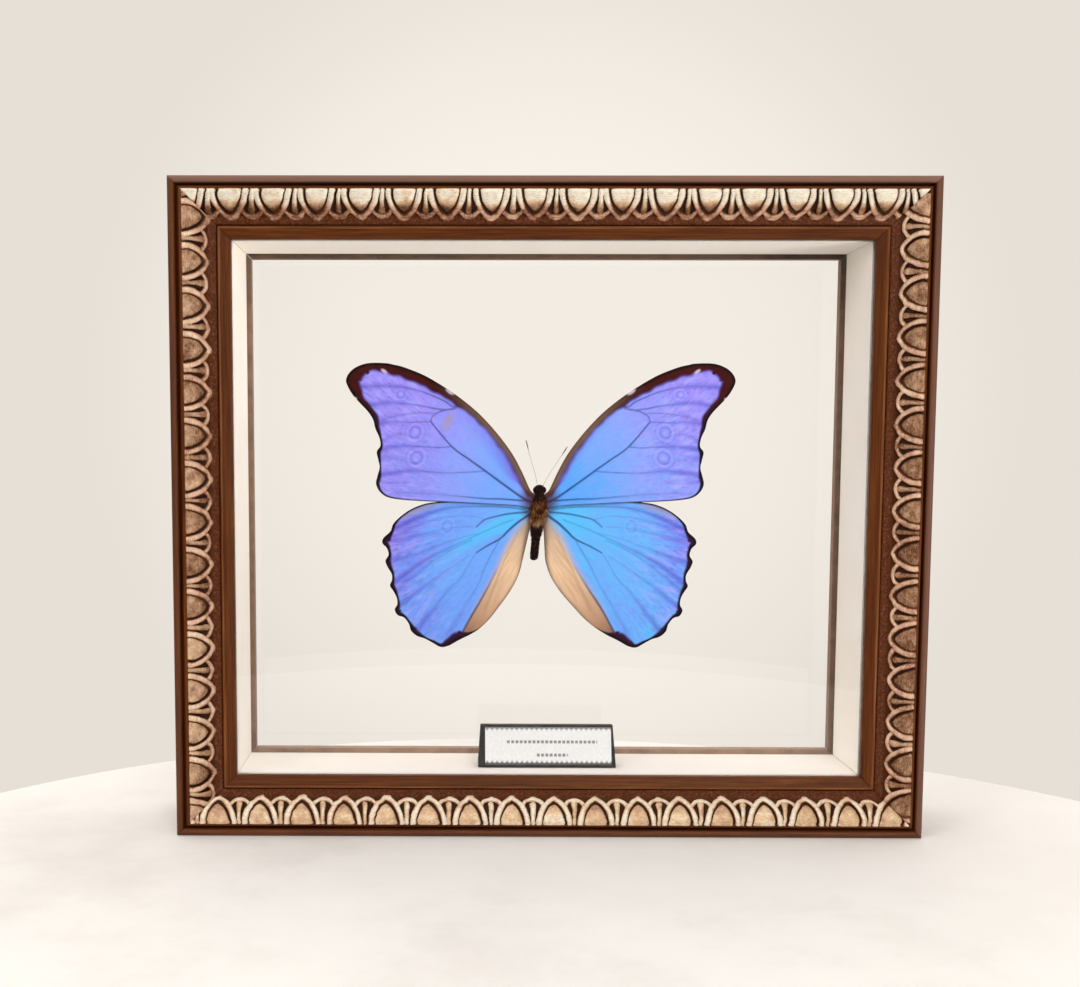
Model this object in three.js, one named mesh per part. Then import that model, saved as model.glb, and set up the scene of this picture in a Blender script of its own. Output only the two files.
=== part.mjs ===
// A butterfly held between two panes of glass in a deep moulded frame that stands on a table.
//
// Millimetres. +X is the viewer's right, +Y points away from the viewer, +Z is up. The origin is the
// middle of the base: the frame stands on z = 0 and its depth is centred on y = 0.
// Moulding sections are given as [inward, back]: the distance in from the frame's outer edge, and the
// distance behind its foremost plane.

import * as THREE from 'three';

// ---- Driving dimensions ----

const WIDTH = 254;
const HEIGHT = 221;
const DEPTH = 46;

const RAIL_WIDTH = 20.1; // from the outer edge to the sight edge
const REBATE = 16.7; // thickness of the rail's wall behind its front lip
const LIP_BACK = 7.45; // back of the front lip, where the front pane lies against it
const BEAD_RADIUS = 1.25;

const GLASS_THICKNESS = 2;
const LINER_DEPTH = 30.05;
const STOP_THICKNESS = 3.5;
const STOP_SHOWING = 1.5; // how far a stop reaches in past the liner

const GAP = 0.2; // between pieces that lie against each other
const MITRE_GAP = 0.1; // each bar is this much short of its mitre plane
const LOOSE = 0.3; // side clearance of what lies in the rebate

const LABEL = { x: 0.4, bottom: 48.4, top: 46.7, height: 14.3, foot: 9, crown: 2.5, lean: 4, front: 17.4 };
const CARD = { width: 44.4, height: 12.2, thickness: 0.4, offset: 0.4 };

const BODY_CENTRE = { x: -1.9, z: 112 }; // middle of the wing roots, seen from the front
const BODY_BACKSET = 35.2; // depth of the body's axis
const BODY_FLATNESS = 0.87; // the body's depth over its width
const FOREWING_BACKSET = 34.8; // back of the forewing's plate
const HINDWING_BACKSET = 35.6;
const WING_THICKNESS = 0.5;
const ANTENNA_RADIUS = 0.25;
const GLUE_RADIUS = 2.6;

// ---- Colours ----

const COLOURS = {
  wood: 0x5f3318,
  glass: 0xf4f8f6,
  cream: 0xfaf3e2,
  stop: 0x40261a,
  holder: 0x16191a,
  card: 0xf8f8f5,
  body: 0x2c1810,
  forewing: 0x8a80f0,
  hindwing: 0x5f9cf6,
  antenna: 0x30241c,
  glue: 0xf2f0e4,
};

function material(name, roughness, opacity = 1) {
  return new THREE.MeshStandardMaterial({
    color: COLOURS[name],
    roughness,
    metalness: 0,
    opacity,
    transparent: opacity < 1,
  });
}

const model = new THREE.Group();

function addPiece(name, geometry, finish, parent = model) {
  const piece = new THREE.Mesh(geometry, finish);
  piece.name = name;
  parent.add(piece);
  return piece;
}

// A group whose y = 0 lies `back` behind the foremost plane.
function groupAt(x, back, z) {
  const group = new THREE.Group();
  group.position.set(x, back - DEPTH / 2, z);
  model.add(group);
  return group;
}

// ---- Bars: rails, liner boards and stops ----

// A bar of the given section whose ends are cut at 45 degrees, so that four of them close a frame.
// It lies along X with its outer edge on z = 0.
function mitredBar(section, length) {
  const shape = new THREE.Shape(section.map(([inward, back]) => new THREE.Vector2(inward, back)));
  const geometry = new THREE.ExtrudeGeometry(shape, { depth: 1, steps: 1, bevelEnabled: false });
  const vertices = geometry.attributes.position;
  for (let i = 0; i < vertices.count; i += 1) {
    const inward = vertices.getX(i);
    const back = vertices.getY(i);
    const end = 1 - 2 * vertices.getZ(i);
    const halfLength = length / 2 - inward - MITRE_GAP;
    vertices.setXYZ(i, end * halfLength, back - DEPTH / 2, inward);
  }
  geometry.computeVertexNormals();
  return geometry;
}

// The four sides of the frame: where a bar's outer edge lies, and how far it turns about Y.
const SIDES = [
  { side: 'bottom', length: WIDTH, x: 0, z: 0, turn: 0 },
  { side: 'top', length: WIDTH, x: 0, z: HEIGHT, turn: Math.PI },
  { side: 'left', length: HEIGHT, x: -WIDTH / 2, z: HEIGHT / 2, turn: Math.PI / 2 },
  { side: 'right', length: HEIGHT, x: WIDTH / 2, z: HEIGHT / 2, turn: -Math.PI / 2 },
];

function addBars(prefix, section, colour, roughness) {
  for (const { side, length, x, z, turn } of SIDES) {
    const bar = addPiece(`${prefix}_${side}`, mitredBar(section, length), material(colour, roughness));
    bar.position.set(x, 0, z);
    bar.rotation.y = turn;
  }
}

// The outer bead: a half-round that stands up to the front.
function beadPoints() {
  const steps = 6;
  const centreBack = 1.7;
  const points = [];
  for (let i = 0; i <= steps; i += 1) {
    const angle = Math.PI * (1 - i / steps);
    points.push([
      BEAD_RADIUS * (1 + Math.cos(angle)),
      centreBack - BEAD_RADIUS * Math.sin(angle),
    ]);
  }
  return points;
}

const RAIL_SECTION = [
  [0, DEPTH],
  ...beadPoints(),
  // quirk beside the bead
  [2.6, 3],
  [3, 3],
  // convex ornament band, highest near its outer side
  [3.5, 0.8],
  [4.2, 0.1],
  [5.2, 0],
  [6.6, 0.25],
  [8.2, 0.95],
  [9.8, 1.95],
  [11.4, 3.2],
  [12.9, 4.6],
  // flat ground and the step to the inner member
  [13.1, 5.2],
  [15.4, 5.4],
  [15.6, 6],
  // inner member: a rounded arris and a bevel down to the sight edge
  [15.8, 4.5],
  [16.2, 4.1],
  [16.7, 4],
  [RAIL_WIDTH, 5.4],
  // front lip and rebate
  [RAIL_WIDTH, LIP_BACK],
  [REBATE, LIP_BACK],
  [REBATE, DEPTH],
];
addBars('frame_rail', RAIL_SECTION, 'wood', 0.45);

// What lies in the rebate, from front to back: pane, liner, pane, stops.
const REBATE_EDGE = REBATE + LOOSE;
const FRONT_PANE = LIP_BACK + GAP;
const LINER_FRONT = FRONT_PANE + GLASS_THICKNESS + GAP;
const LINER_BACK = LINER_FRONT + LINER_DEPTH;
const REAR_PANE = LINER_BACK + GAP;
const STOP_FRONT = REAR_PANE + GLASS_THICKNESS + GAP;

function rectangle(inwardStart, inwardEnd, front, back) {
  return [
    [inwardStart, back],
    [inwardStart, front],
    [inwardEnd, front],
    [inwardEnd, back],
  ];
}

addBars('liner', rectangle(REBATE_EDGE, RAIL_WIDTH, LINER_FRONT, LINER_BACK), 'cream', 0.8);
addBars(
  'rear_stop',
  rectangle(REBATE_EDGE, RAIL_WIDTH + STOP_SHOWING, STOP_FRONT, STOP_FRONT + STOP_THICKNESS),
  'stop',
  0.55,
);

// ---- Panes ----

function addPane(name, front) {
  const size = [WIDTH - 2 * REBATE_EDGE, GLASS_THICKNESS, HEIGHT - 2 * REBATE_EDGE];
  const pane = addPiece(name, new THREE.BoxGeometry(...size), material('glass', 0.03, 0.2));
  pane.position.set(0, front + GLASS_THICKNESS / 2 - DEPTH / 2, HEIGHT / 2);
}

addPane('front_glass', FRONT_PANE);
addPane('rear_glass', REAR_PANE);

// ---- Label: a wedge-shaped holder that stands on the bottom liner, and its card ----

function labelHolderGeometry() {
  const side = new THREE.Shape([
    new THREE.Vector2(0, 0),
    new THREE.Vector2(LABEL.foot, 0),
    new THREE.Vector2(LABEL.lean + LABEL.crown, LABEL.height),
    new THREE.Vector2(LABEL.lean, LABEL.height),
  ]);
  const geometry = new THREE.ExtrudeGeometry(side, { depth: 1, steps: 1, bevelEnabled: false });
  const vertices = geometry.attributes.position;
  for (let i = 0; i < vertices.count; i += 1) {
    const back = vertices.getX(i);
    const up = vertices.getY(i);
    const width = THREE.MathUtils.lerp(LABEL.bottom, LABEL.top, up / LABEL.height);
    vertices.setXYZ(i, (vertices.getZ(i) - 0.5) * width, back, up);
  }
  geometry.computeVertexNormals();
  return geometry;
}

function addLabel() {
  const label = groupAt(LABEL.x, LABEL.front, RAIL_WIDTH + GAP);
  addPiece('label_holder', labelHolderGeometry(), material('holder', 0.3), label);
  const tilt = Math.atan2(LABEL.lean, LABEL.height);
  const slant = Math.hypot(LABEL.lean, LABEL.height);
  const proud = GAP + CARD.thickness / 2;
  const card = addPiece(
    'label_card',
    new THREE.BoxGeometry(CARD.width, CARD.thickness, CARD.height),
    material('card', 0.75),
    label,
  );
  const upSlant = slant / 2;
  card.position.set(
    CARD.offset,
    upSlant * Math.sin(tilt) - proud * Math.cos(tilt),
    upSlant * Math.cos(tilt) + proud * Math.sin(tilt),
  );
  card.rotation.x = -tilt;
}
addLabel();

// ---- Butterfly ----

// Half-widths of the body along its length, as [radius, height above the wing roots].
const BODY_PROFILE = [
  [0, -20],
  [1.1, -19.6],
  [1.6, -18.4],
  [1.65, -13],
  [2.3, -9],
  [3.1, -6.5],
  [3.8, -3],
  [3.9, -0.5],
  [3.2, 2],
  [2.1, 3.6],
  [2.3, 5],
  [2, 6.4],
  [1.1, 7.2],
  [0, 7.4],
];
const BODY_SEGMENTS = 20;
const ABDOMEN_TOP = -6;
const ABDOMEN_LEAN = 0.1; // sideways per length: the abdomen swings to the viewer's left

function abdomenShift(height) {
  return Math.min(0, (height - ABDOMEN_TOP) * ABDOMEN_LEAN);
}

function bodyGeometry() {
  const profile = BODY_PROFILE.map(([radius, height]) => new THREE.Vector2(radius, height));
  const geometry = new THREE.LatheGeometry(profile, BODY_SEGMENTS);
  geometry.rotateX(Math.PI / 2);
  const vertices = geometry.attributes.position;
  for (let i = 0; i < vertices.count; i += 1) {
    const height = vertices.getZ(i);
    vertices.setX(i, vertices.getX(i) + abdomenShift(height));
    vertices.setY(i, vertices.getY(i) * BODY_FLATNESS);
  }
  geometry.computeVertexNormals();
  return geometry;
}

const body = groupAt(BODY_CENTRE.x, BODY_BACKSET, BODY_CENTRE.z);
addPiece('butterfly_body', bodyGeometry(), material('body', 0.9), body);

// Wing outlines, one run of points per edge, as [outward from the body's axis, up from the roots].
const FOREWING_ROOT = [
  [4.4, 0.3],
  [4, 4.4],
];
const FOREWING_FRONT_EDGE = [
  [6.3, 11.4],
  [12.9, 22.2],
  [22, 32.4],
  [32.9, 41],
  [43.5, 46.9],
  [53.5, 50],
  [61, 50.3],
  [66.5, 48.2],
  [69, 44.5],
];
const FOREWING_OUTER_EDGE = [
  [67.8, 40.8],
  [64, 35.8],
  [60, 31],
  [58.4, 26.5],
  [57, 21],
  [58.2, 18.6],
  [57.4, 14],
  [58.2, 9.5],
  [58.2, 7],
  [56.9, 4.3],
  [54, 2.5],
  [49, 1.6],
];
const FOREWING_HIND_EDGE = [
  [41, 1.1],
  [20, 0.6],
];
const HINDWING_ROOT = [
  [4, -6.2],
  [4.4, -2.2],
];
const HINDWING_FRONT_EDGE = [
  [18.7, -0.7],
  [31.5, 0.1],
  [39, 0.3],
  [44.5, -1.2],
  [49.5, -4.4],
  [53, -8.2],
];
const HINDWING_OUTER_EDGE = [
  [55.6, -13.6],
  [54.4, -17.5],
  [54.8, -21.2],
  [52.9, -26],
  [53.2, -29.5],
  [51.2, -34],
  [51.6, -38],
  [48.8, -41],
  [46.2, -45.8],
  [41, -48.9],
  [35.2, -51.5],
];
// Measured from the abdomen's own axis, which the inner edge follows.
const HINDWING_INNER_EDGE = [
  [30.5, -50],
  [22, -45.6],
  [14, -37.6],
  [9.4, -31.5],
  [6.2, -26],
  [4.6, -20.5],
  [3.7, -15.5],
  [3.6, -10.5],
];

function wingShape(side, root, edges, innerEdge = []) {
  const place = ([outward, up]) => new THREE.Vector2(side * outward, up);
  const follow = ([outward, up]) => {
    const nearness = THREE.MathUtils.clamp(1 - (outward - 4) / 18, 0, 1);
    return new THREE.Vector2(side * outward + abdomenShift(Math.max(up, -20)) * nearness, up);
  };
  const shape = new THREE.Shape();
  shape.moveTo(side * root[0][0], root[0][1]);
  shape.lineTo(side * root[1][0], root[1][1]);
  shape.splineThru([...edges.map(place), ...innerEdge.map(follow)]);
  return shape;
}

function addWing(name, shape, colour, back) {
  const geometry = new THREE.ExtrudeGeometry(shape, {
    depth: WING_THICKNESS,
    steps: 1,
    curveSegments: 3,
    bevelEnabled: false,
  });
  const plane = groupAt(BODY_CENTRE.x, back, BODY_CENTRE.z);
  addPiece(name, geometry, material(colour, 0.6), plane).rotation.x = Math.PI / 2;
}

for (const [word, side] of [['left', -1], ['right', 1]]) {
  const forewing = wingShape(side, FOREWING_ROOT, [
    ...FOREWING_FRONT_EDGE,
    ...FOREWING_OUTER_EDGE,
    ...FOREWING_HIND_EDGE,
  ]);
  const hindwing = wingShape(
    side,
    HINDWING_ROOT,
    [...HINDWING_FRONT_EDGE, ...HINDWING_OUTER_EDGE],
    HINDWING_INNER_EDGE,
  );
  addWing(`forewing_${word}`, forewing, 'forewing', FOREWING_BACKSET);
  addWing(`hindwing_${word}`, hindwing, 'hindwing', HINDWING_BACKSET);
}

// Each antenna springs from the top of the head and bends slightly outward, in front of the wings.
function addAntenna(name, points) {
  const path = new THREE.CatmullRomCurve3(points.map((point) => new THREE.Vector3(...point)));
  const sides = 6;
  const section = new THREE.Shape();
  for (let i = 0; i < sides; i += 1) {
    const angle = (2 * Math.PI * i) / sides;
    const x = ANTENNA_RADIUS * Math.cos(angle);
    const y = ANTENNA_RADIUS * Math.sin(angle);
    if (i === 0) section.moveTo(x, y);
    else section.lineTo(x, y);
  }
  section.closePath();
  const geometry = new THREE.ExtrudeGeometry(section, { steps: 10, extrudePath: path });
  addPiece(name, geometry, material('antenna', 0.6), body);
}

addAntenna('antenna_left', [
  [-0.9, -1.2, 7.6],
  [-3, -2.2, 15],
  [-5.1, -2.4, 23],
]);
addAntenna('antenna_right', [
  [1.3, -1.2, 7.4],
  [5.2, -2.2, 13.8],
  [9.6, -2.4, 20.6],
]);

// The dab of clear glue that holds the thorax to the rear pane.
function addGlueDab() {
  const thoraxBack = BODY_BACKSET + 3.9 * BODY_FLATNESS;
  const front = thoraxBack + LOOSE;
  const thickness = REAR_PANE - GAP - front;
  const profile = [
    new THREE.Vector2(0, 0),
    new THREE.Vector2(GLUE_RADIUS * 0.75, 0),
    new THREE.Vector2(GLUE_RADIUS, thickness),
    new THREE.Vector2(0, thickness),
  ];
  const dab = addPiece('glue_dab', new THREE.LatheGeometry(profile, 16), material('glue', 0.2, 0.6));
  dab.position.set(BODY_CENTRE.x, front - DEPTH / 2, BODY_CENTRE.z);
}
addGlueDab();

export default model;
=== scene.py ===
"""Looks of a butterfly held between two panes of glass in a deep moulded frame with a gilt border.

Shapes are worked out in millimetres and become metres when a mesh is made. +X is the viewer's right,
+Y points away from the viewer and +Z is up; the frame stands on z = 0.
A place on a moulding is (inward, back): in from the frame's outer edge, and behind its foremost plane.
A place on the butterfly is (outward, up): from the body's axis, and from the wing roots.
"""

import math

import bpy
import numpy as np
from mathutils import Matrix, Vector
from mathutils.geometry import delaunay_2d_cdt


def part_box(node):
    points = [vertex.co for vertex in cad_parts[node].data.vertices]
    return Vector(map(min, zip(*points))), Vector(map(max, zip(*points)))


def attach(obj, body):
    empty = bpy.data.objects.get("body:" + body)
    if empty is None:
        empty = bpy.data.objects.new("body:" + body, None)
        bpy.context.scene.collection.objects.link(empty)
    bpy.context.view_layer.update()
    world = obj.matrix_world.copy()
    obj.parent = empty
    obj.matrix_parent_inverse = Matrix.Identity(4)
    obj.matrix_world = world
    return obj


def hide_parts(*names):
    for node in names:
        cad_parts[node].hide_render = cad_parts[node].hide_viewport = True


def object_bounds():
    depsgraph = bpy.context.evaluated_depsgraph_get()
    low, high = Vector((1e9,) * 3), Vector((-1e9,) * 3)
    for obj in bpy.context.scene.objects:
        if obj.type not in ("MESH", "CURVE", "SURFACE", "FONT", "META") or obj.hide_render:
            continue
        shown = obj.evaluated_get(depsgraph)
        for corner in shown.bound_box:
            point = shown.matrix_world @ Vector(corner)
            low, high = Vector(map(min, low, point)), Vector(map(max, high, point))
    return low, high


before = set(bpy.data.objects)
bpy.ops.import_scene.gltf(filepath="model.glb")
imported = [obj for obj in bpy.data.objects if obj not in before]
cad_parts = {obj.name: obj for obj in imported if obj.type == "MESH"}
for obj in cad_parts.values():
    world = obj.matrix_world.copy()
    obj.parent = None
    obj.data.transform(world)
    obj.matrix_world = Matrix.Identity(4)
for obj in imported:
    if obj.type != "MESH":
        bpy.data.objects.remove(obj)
cad_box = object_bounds()

MM = 0.001

# ---- Driving dimensions, in millimetres ----

BOX_LOW, BOX_HIGH = (np.array(corner) / MM for corner in cad_box)
WIDTH = BOX_HIGH[0] - BOX_LOW[0]
HEIGHT = BOX_HIGH[2]
DEPTH = BOX_HIGH[1] - BOX_LOW[1]
FRONT = BOX_LOW[1]  # the y of the foremost plane

RAIL_WIDTH = 20.1
REBATE = 16.7
LIP_BACK = 7.45
MITRE_GAP = 0.05

BODY_X = -1.9
BODY_Z = 112.0
BODY_BACK = 35.2
FOREWING_BACK = 34.3
HINDWING_BACK = 35.15
WING_SKIN = 0.14

# ---- Numbers and curves ----


def ramp_up(x, low, high):
    """0 below low, 1 above high, with a smooth rise between."""
    share = np.clip((np.asarray(x, float) - low) / (high - low), 0, 1)
    return share * share * (3 - 2 * share)


def ramp_down(x, low, high):
    """1 below low, 0 above high."""
    return 1 - ramp_up(x, low, high)


def blend(first, second, share):
    return first + (second - first) * share


def hump(x, half_width):
    """1 where x is 0, falling away on both sides."""
    return np.exp(-((x / half_width) ** 2))


def spline(points, per_span, closed=False):
    """A smooth curve through the points, by Catmull-Rom; every column is interpolated."""
    points = np.asarray(points, float)
    ends = (points[-1:], points[:2]) if closed else (points[:1], points[-1:])
    points = np.vstack([ends[0], points, ends[1]])
    share = np.linspace(0, 1, per_span, endpoint=False)[:, None]
    runs = []
    for before, start, end, after in zip(points, points[1:], points[2:], points[3:]):
        square = 2 * before - 5 * start + 4 * end - after
        cube = 3 * start - before - 3 * end + after
        runs.append(0.5 * (2 * start + (end - before) * share + square * share**2 + cube * share**3))
    curve = np.vstack(runs)
    return curve if closed else np.vstack([curve, points[-1:]])


def reach_along(line):
    """How far along the polyline each of its points lies."""
    return np.concatenate([[0], np.cumsum(np.hypot(*np.diff(line, axis=0).T))])


def looped(outline):
    """The outline with its first point again at its end."""
    return np.vstack([outline, outline[:1]])


def nearest_on_line(points, line):
    """For each point: its distance to the polyline, how far along the line that is (0 to 1), its side."""
    best = np.full(len(points), 1e9)
    along = np.zeros(len(points))
    side = np.zeros(len(points))
    lengths = np.hypot(*np.diff(line, axis=0).T)
    starts = reach_along(line)
    for start, end, length, before in zip(line, line[1:], lengths, starts):
        step = end - start
        offset = points - start
        share = np.clip(offset @ step / max(length**2, 1e-9), 0, 1)
        gap = np.hypot(*(offset - share[:, None] * step).T)
        closer = gap < best
        best[closer] = gap[closer]
        along[closer] = ((before + share * length) / starts[-1])[closer]
        side[closer] = np.sign(step[0] * offset[:, 1] - step[1] * offset[:, 0])[closer]
    return best, along, side


# ---- Meshes ----


def as_points(x, y, z):
    """One row for each point of three grids of equal shape."""
    return np.stack([x, y, z], -1).reshape(-1, 3)


def make_mesh(name, points, faces, material, smooth=True):
    mesh = bpy.data.meshes.new(name)
    mesh.from_pydata((np.asarray(points) * MM).tolist(), [], faces)
    mesh.materials.append(material)
    mesh.polygons.foreach_set("use_smooth", [smooth] * len(mesh.polygons))
    mesh.update()
    piece = bpy.data.objects.new(name, mesh)
    bpy.context.collection.objects.link(piece)
    return piece


def keep_number(piece, name, values):
    attribute = piece.data.attributes.new(name, "FLOAT", "POINT")
    attribute.data.foreach_set("value", np.asarray(values, np.float32))


def keep_vector(piece, name, values):
    attribute = piece.data.attributes.new(name, "FLOAT_VECTOR", "POINT")
    attribute.data.foreach_set("vector", np.asarray(values, np.float32).ravel())


def stand_in(piece, slot, *nodes):
    """The piece takes the place of these CAD nodes; slot is not used."""
    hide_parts(*nodes)
    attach(piece, "root")


def grid_faces(rows, columns, wrap_rows=False, wrap_columns=False):
    """Quads between neighbours of a rows-by-columns grid of points."""
    row = np.arange(rows if wrap_rows else rows - 1)
    column = np.arange(columns if wrap_columns else columns - 1)
    row, column = (grid.ravel() for grid in np.meshgrid(row, column, indexing="ij"))
    next_row, next_column = (row + 1) % rows, (column + 1) % columns
    corners = [(row, column), (row, next_column), (next_row, next_column), (next_row, column)]
    return np.stack([at_row * columns + at_column for at_row, at_column in corners], 1).tolist()


def round_faces(rings, sides):
    """Faces of a closed tube of rings, with flat ends."""
    faces = grid_faces(rings, sides, wrap_columns=True)
    faces.append(list(range(sides))[::-1])
    faces.append([(rings - 1) * sides + i for i in range(sides)])
    return faces


# ---- Materials ----


def rgb(red, green, blue):
    """A display colour, 0 to 255, as the linear colour that shaders take."""
    def linear(value):
        value /= 255
        return value / 12.92 if value <= 0.04045 else ((value + 0.055) / 1.055) ** 2.4
    return (linear(red), linear(green), linear(blue), 1)


class Finish:
    """A material, with short ways to add and join its nodes."""

    def __init__(self, name, roughness=0.5, specular=0.5):
        self.material = bpy.data.materials.new(name)
        self.material.use_nodes = True
        self.nodes = self.material.node_tree.nodes
        self.links = self.material.node_tree.links
        self.surface = self.nodes["Principled BSDF"]
        self.surface.inputs["Roughness"].default_value = roughness
        self.surface.inputs["Specular IOR Level"].default_value = specular

    def feed(self, socket, value):
        if isinstance(value, bpy.types.NodeSocket):
            self.links.new(value, socket)
        else:
            socket.default_value = value

    def set(self, **values):
        for name, value in values.items():
            self.feed(self.surface.inputs[name.replace("_", " ")], value)

    def number(self, name, output="Fac"):
        node = self.nodes.new("ShaderNodeAttribute")
        node.attribute_name = name
        return node.outputs[output]

    def vector(self, name):
        return self.number(name, "Vector")

    def place(self):
        return self.nodes.new("ShaderNodeTexCoord").outputs["Object"]

    def stretched(self, vector, scale):
        node = self.nodes.new("ShaderNodeMapping")
        node.inputs["Scale"].default_value = scale
        self.feed(node.inputs["Vector"], vector)
        return node.outputs["Vector"]

    def noise(self, vector, scale, detail=3, roughness=0.55):
        node = self.nodes.new("ShaderNodeTexNoise")
        self.feed(node.inputs["Vector"], vector)
        node.inputs["Scale"].default_value = scale
        node.inputs["Detail"].default_value = detail
        node.inputs["Roughness"].default_value = roughness
        return node.outputs["Fac"]

    def ramp(self, factor, *stops):
        node = self.nodes.new("ShaderNodeValToRGB")
        elements = node.color_ramp.elements
        while len(elements) < len(stops):
            elements.new(0.5)
        for element, (position, colour) in zip(elements, stops):
            element.position = position
            element.color = colour if isinstance(colour, tuple) else (colour, colour, colour, 1)
        self.feed(node.inputs["Fac"], factor)
        return node.outputs["Color"]

    def mix(self, factor, first, second, kind="MIX"):
        node = self.nodes.new("ShaderNodeMixRGB")
        node.blend_type = kind
        for socket, value in zip(node.inputs, (factor, first, second)):
            self.feed(socket, value)
        return node.outputs["Color"]

    def math(self, operation, first, second=0.0, clamp=False):
        node = self.nodes.new("ShaderNodeMath")
        node.operation = operation
        node.use_clamp = clamp
        self.feed(node.inputs[0], first)
        self.feed(node.inputs[1], second)
        return node.outputs["Value"]

    def times(self, first, second, clamp=False):
        return self.math("MULTIPLY", first, second, clamp)

    def centred(self, noise, amount):
        """The noise about its middle, scaled by amount."""
        return self.times(self.math("SUBTRACT", noise, 0.5), amount)

    def marked(self, colour, name, strength, mark):
        """The colour, with the mark's colour laid over it where the mesh's number is high."""
        return self.mix(self.times(self.number(name), strength, clamp=True), colour, mark)

    def bump(self, height, distance, strength=1.0):
        node = self.nodes.new("ShaderNodeBump")
        node.inputs["Strength"].default_value = strength
        node.inputs["Distance"].default_value = distance * MM
        self.feed(node.inputs["Height"], height)
        self.links.new(node.outputs["Normal"], self.surface.inputs["Normal"])


# ---- Camera ----

PHOTO_WIDTH, PHOTO_HEIGHT = 1080, 987
CAMERA_PLACE = (-33.2, FRONT + 1.5 - 451.1, 133.4)
CAMERA_PITCH = 0.089
CAMERA_YAW = -0.007
CAMERA_ROLL = -0.002
FOCAL_PIXELS = 1350
AXIS_PIXEL = (442.5, 564.6)  # where the lens axis meets the picture
SENSOR_WIDTH = 36


def add_camera():
    camera = bpy.data.objects.new("camera", bpy.data.cameras.new("camera"))
    bpy.context.collection.objects.link(camera)
    lens = camera.data
    lens.sensor_fit = "HORIZONTAL"
    lens.sensor_width = SENSOR_WIDTH
    lens.lens = FOCAL_PIXELS / PHOTO_WIDTH * SENSOR_WIDTH
    lens.shift_x = (PHOTO_WIDTH / 2 - AXIS_PIXEL[0]) / PHOTO_WIDTH
    lens.shift_y = (AXIS_PIXEL[1] - PHOTO_HEIGHT / 2) / PHOTO_WIDTH
    lens.clip_start = 0.01
    forward = Vector((
        math.sin(CAMERA_YAW) * math.cos(CAMERA_PITCH),
        math.cos(CAMERA_YAW) * math.cos(CAMERA_PITCH),
        -math.sin(CAMERA_PITCH),
    ))
    level = Vector((math.cos(CAMERA_YAW), -math.sin(CAMERA_YAW), 0))
    upright = level.cross(forward)
    right = level * math.cos(CAMERA_ROLL) - upright * math.sin(CAMERA_ROLL)
    up = right.cross(forward)
    turn = Matrix((right, up, -forward)).transposed().to_4x4()
    camera.matrix_world = Matrix.Translation(Vector(CAMERA_PLACE) * MM) @ turn
    bpy.context.scene.camera = camera


add_camera()

# ---- Frame rails ----

# origin is the middle of the bar's outer edge, and turn how far its along and inward axes turn about Y;
# leaf is where a leaf of the border has its middle, along the bar; band is where the border starts and
# where its tips end, across the band; bright is how light its gilt is painted at its outer and its inner
# side, painted light and shade by how the bar faces the lamps, so the top bar is lit on its outer side and
# shaded on its inner; worn is how much darker its gilt is at the bar's start, middle and end; and sheen is
# a painted highlight on the outer bead, strongest on the top bar.
SIDES = {
    "bottom": {"length": WIDTH, "origin": (0, 0), "turn": 0, "leaf": 1.9, "band": (0.03, 1.02),
               "gilt_light_and_wear": (0.82, 0.72), "worn": (0.05, 0, 0.08), "sheen": 0.15},
    "top": {"length": WIDTH, "origin": (0, HEIGHT), "turn": math.pi, "leaf": -8.0, "band": (0.05, 1.1),
            "gilt_light_and_wear": (1.22, 0.2), "worn": (0, 0.05, 0.2), "sheen": 1.0},
    "left": {"length": HEIGHT, "origin": (-WIDTH / 2, HEIGHT / 2), "turn": math.pi / 2, "leaf": 3.3,
             "band": (0.09, 1.03), "gilt_light_and_wear": (0.6, 0.44), "worn": (0.1, 0.22, 0), "sheen": 0.15},
    "right": {"length": HEIGHT, "origin": (WIDTH / 2, HEIGHT / 2), "turn": -math.pi / 2, "leaf": 1.0,
              "band": (0.05, 0.98), "gilt_light_and_wear": (0.38, 0.44), "worn": (0.1, 0.16, 0), "sheen": 0.5},
}
COLUMN_STEP = 0.33

BAND = [(3.95, 0.3), (5.2, 0), (6.6, 0.25), (8.2, 0.95), (9.8, 1.95), (11.4, 3.2), (12.9, 4.6)]
BAND_ROWS = 40
FLAT_STRIPS_BEFORE, FLAT_STRIPS_AFTER = 4, 6  # strips of the section, first and last, that are quite flat
GROUND_START, GROUND_END = 13.0, 15.2
GROUND_PITTING = 0.05
HAND_UNEVENNESS = 0.07
BEAD_RADIUS = 1.25
PATCHINESS = 0.12  # how unevenly the gilt is worn along a bar
CREST_HIGHLIGHT = 0.45  # how much lighter the gilt is painted on crests than beside them: a painted highlight
LIP_HIGHLIGHT_INWARD = 16.3  # how far inward the painted highlight on the lip's edge lies
LIP_HIGHLIGHT_BACK = 5  # nothing this far back gets the lip's painted highlight
LEAF_PITCH = 14.3


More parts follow.
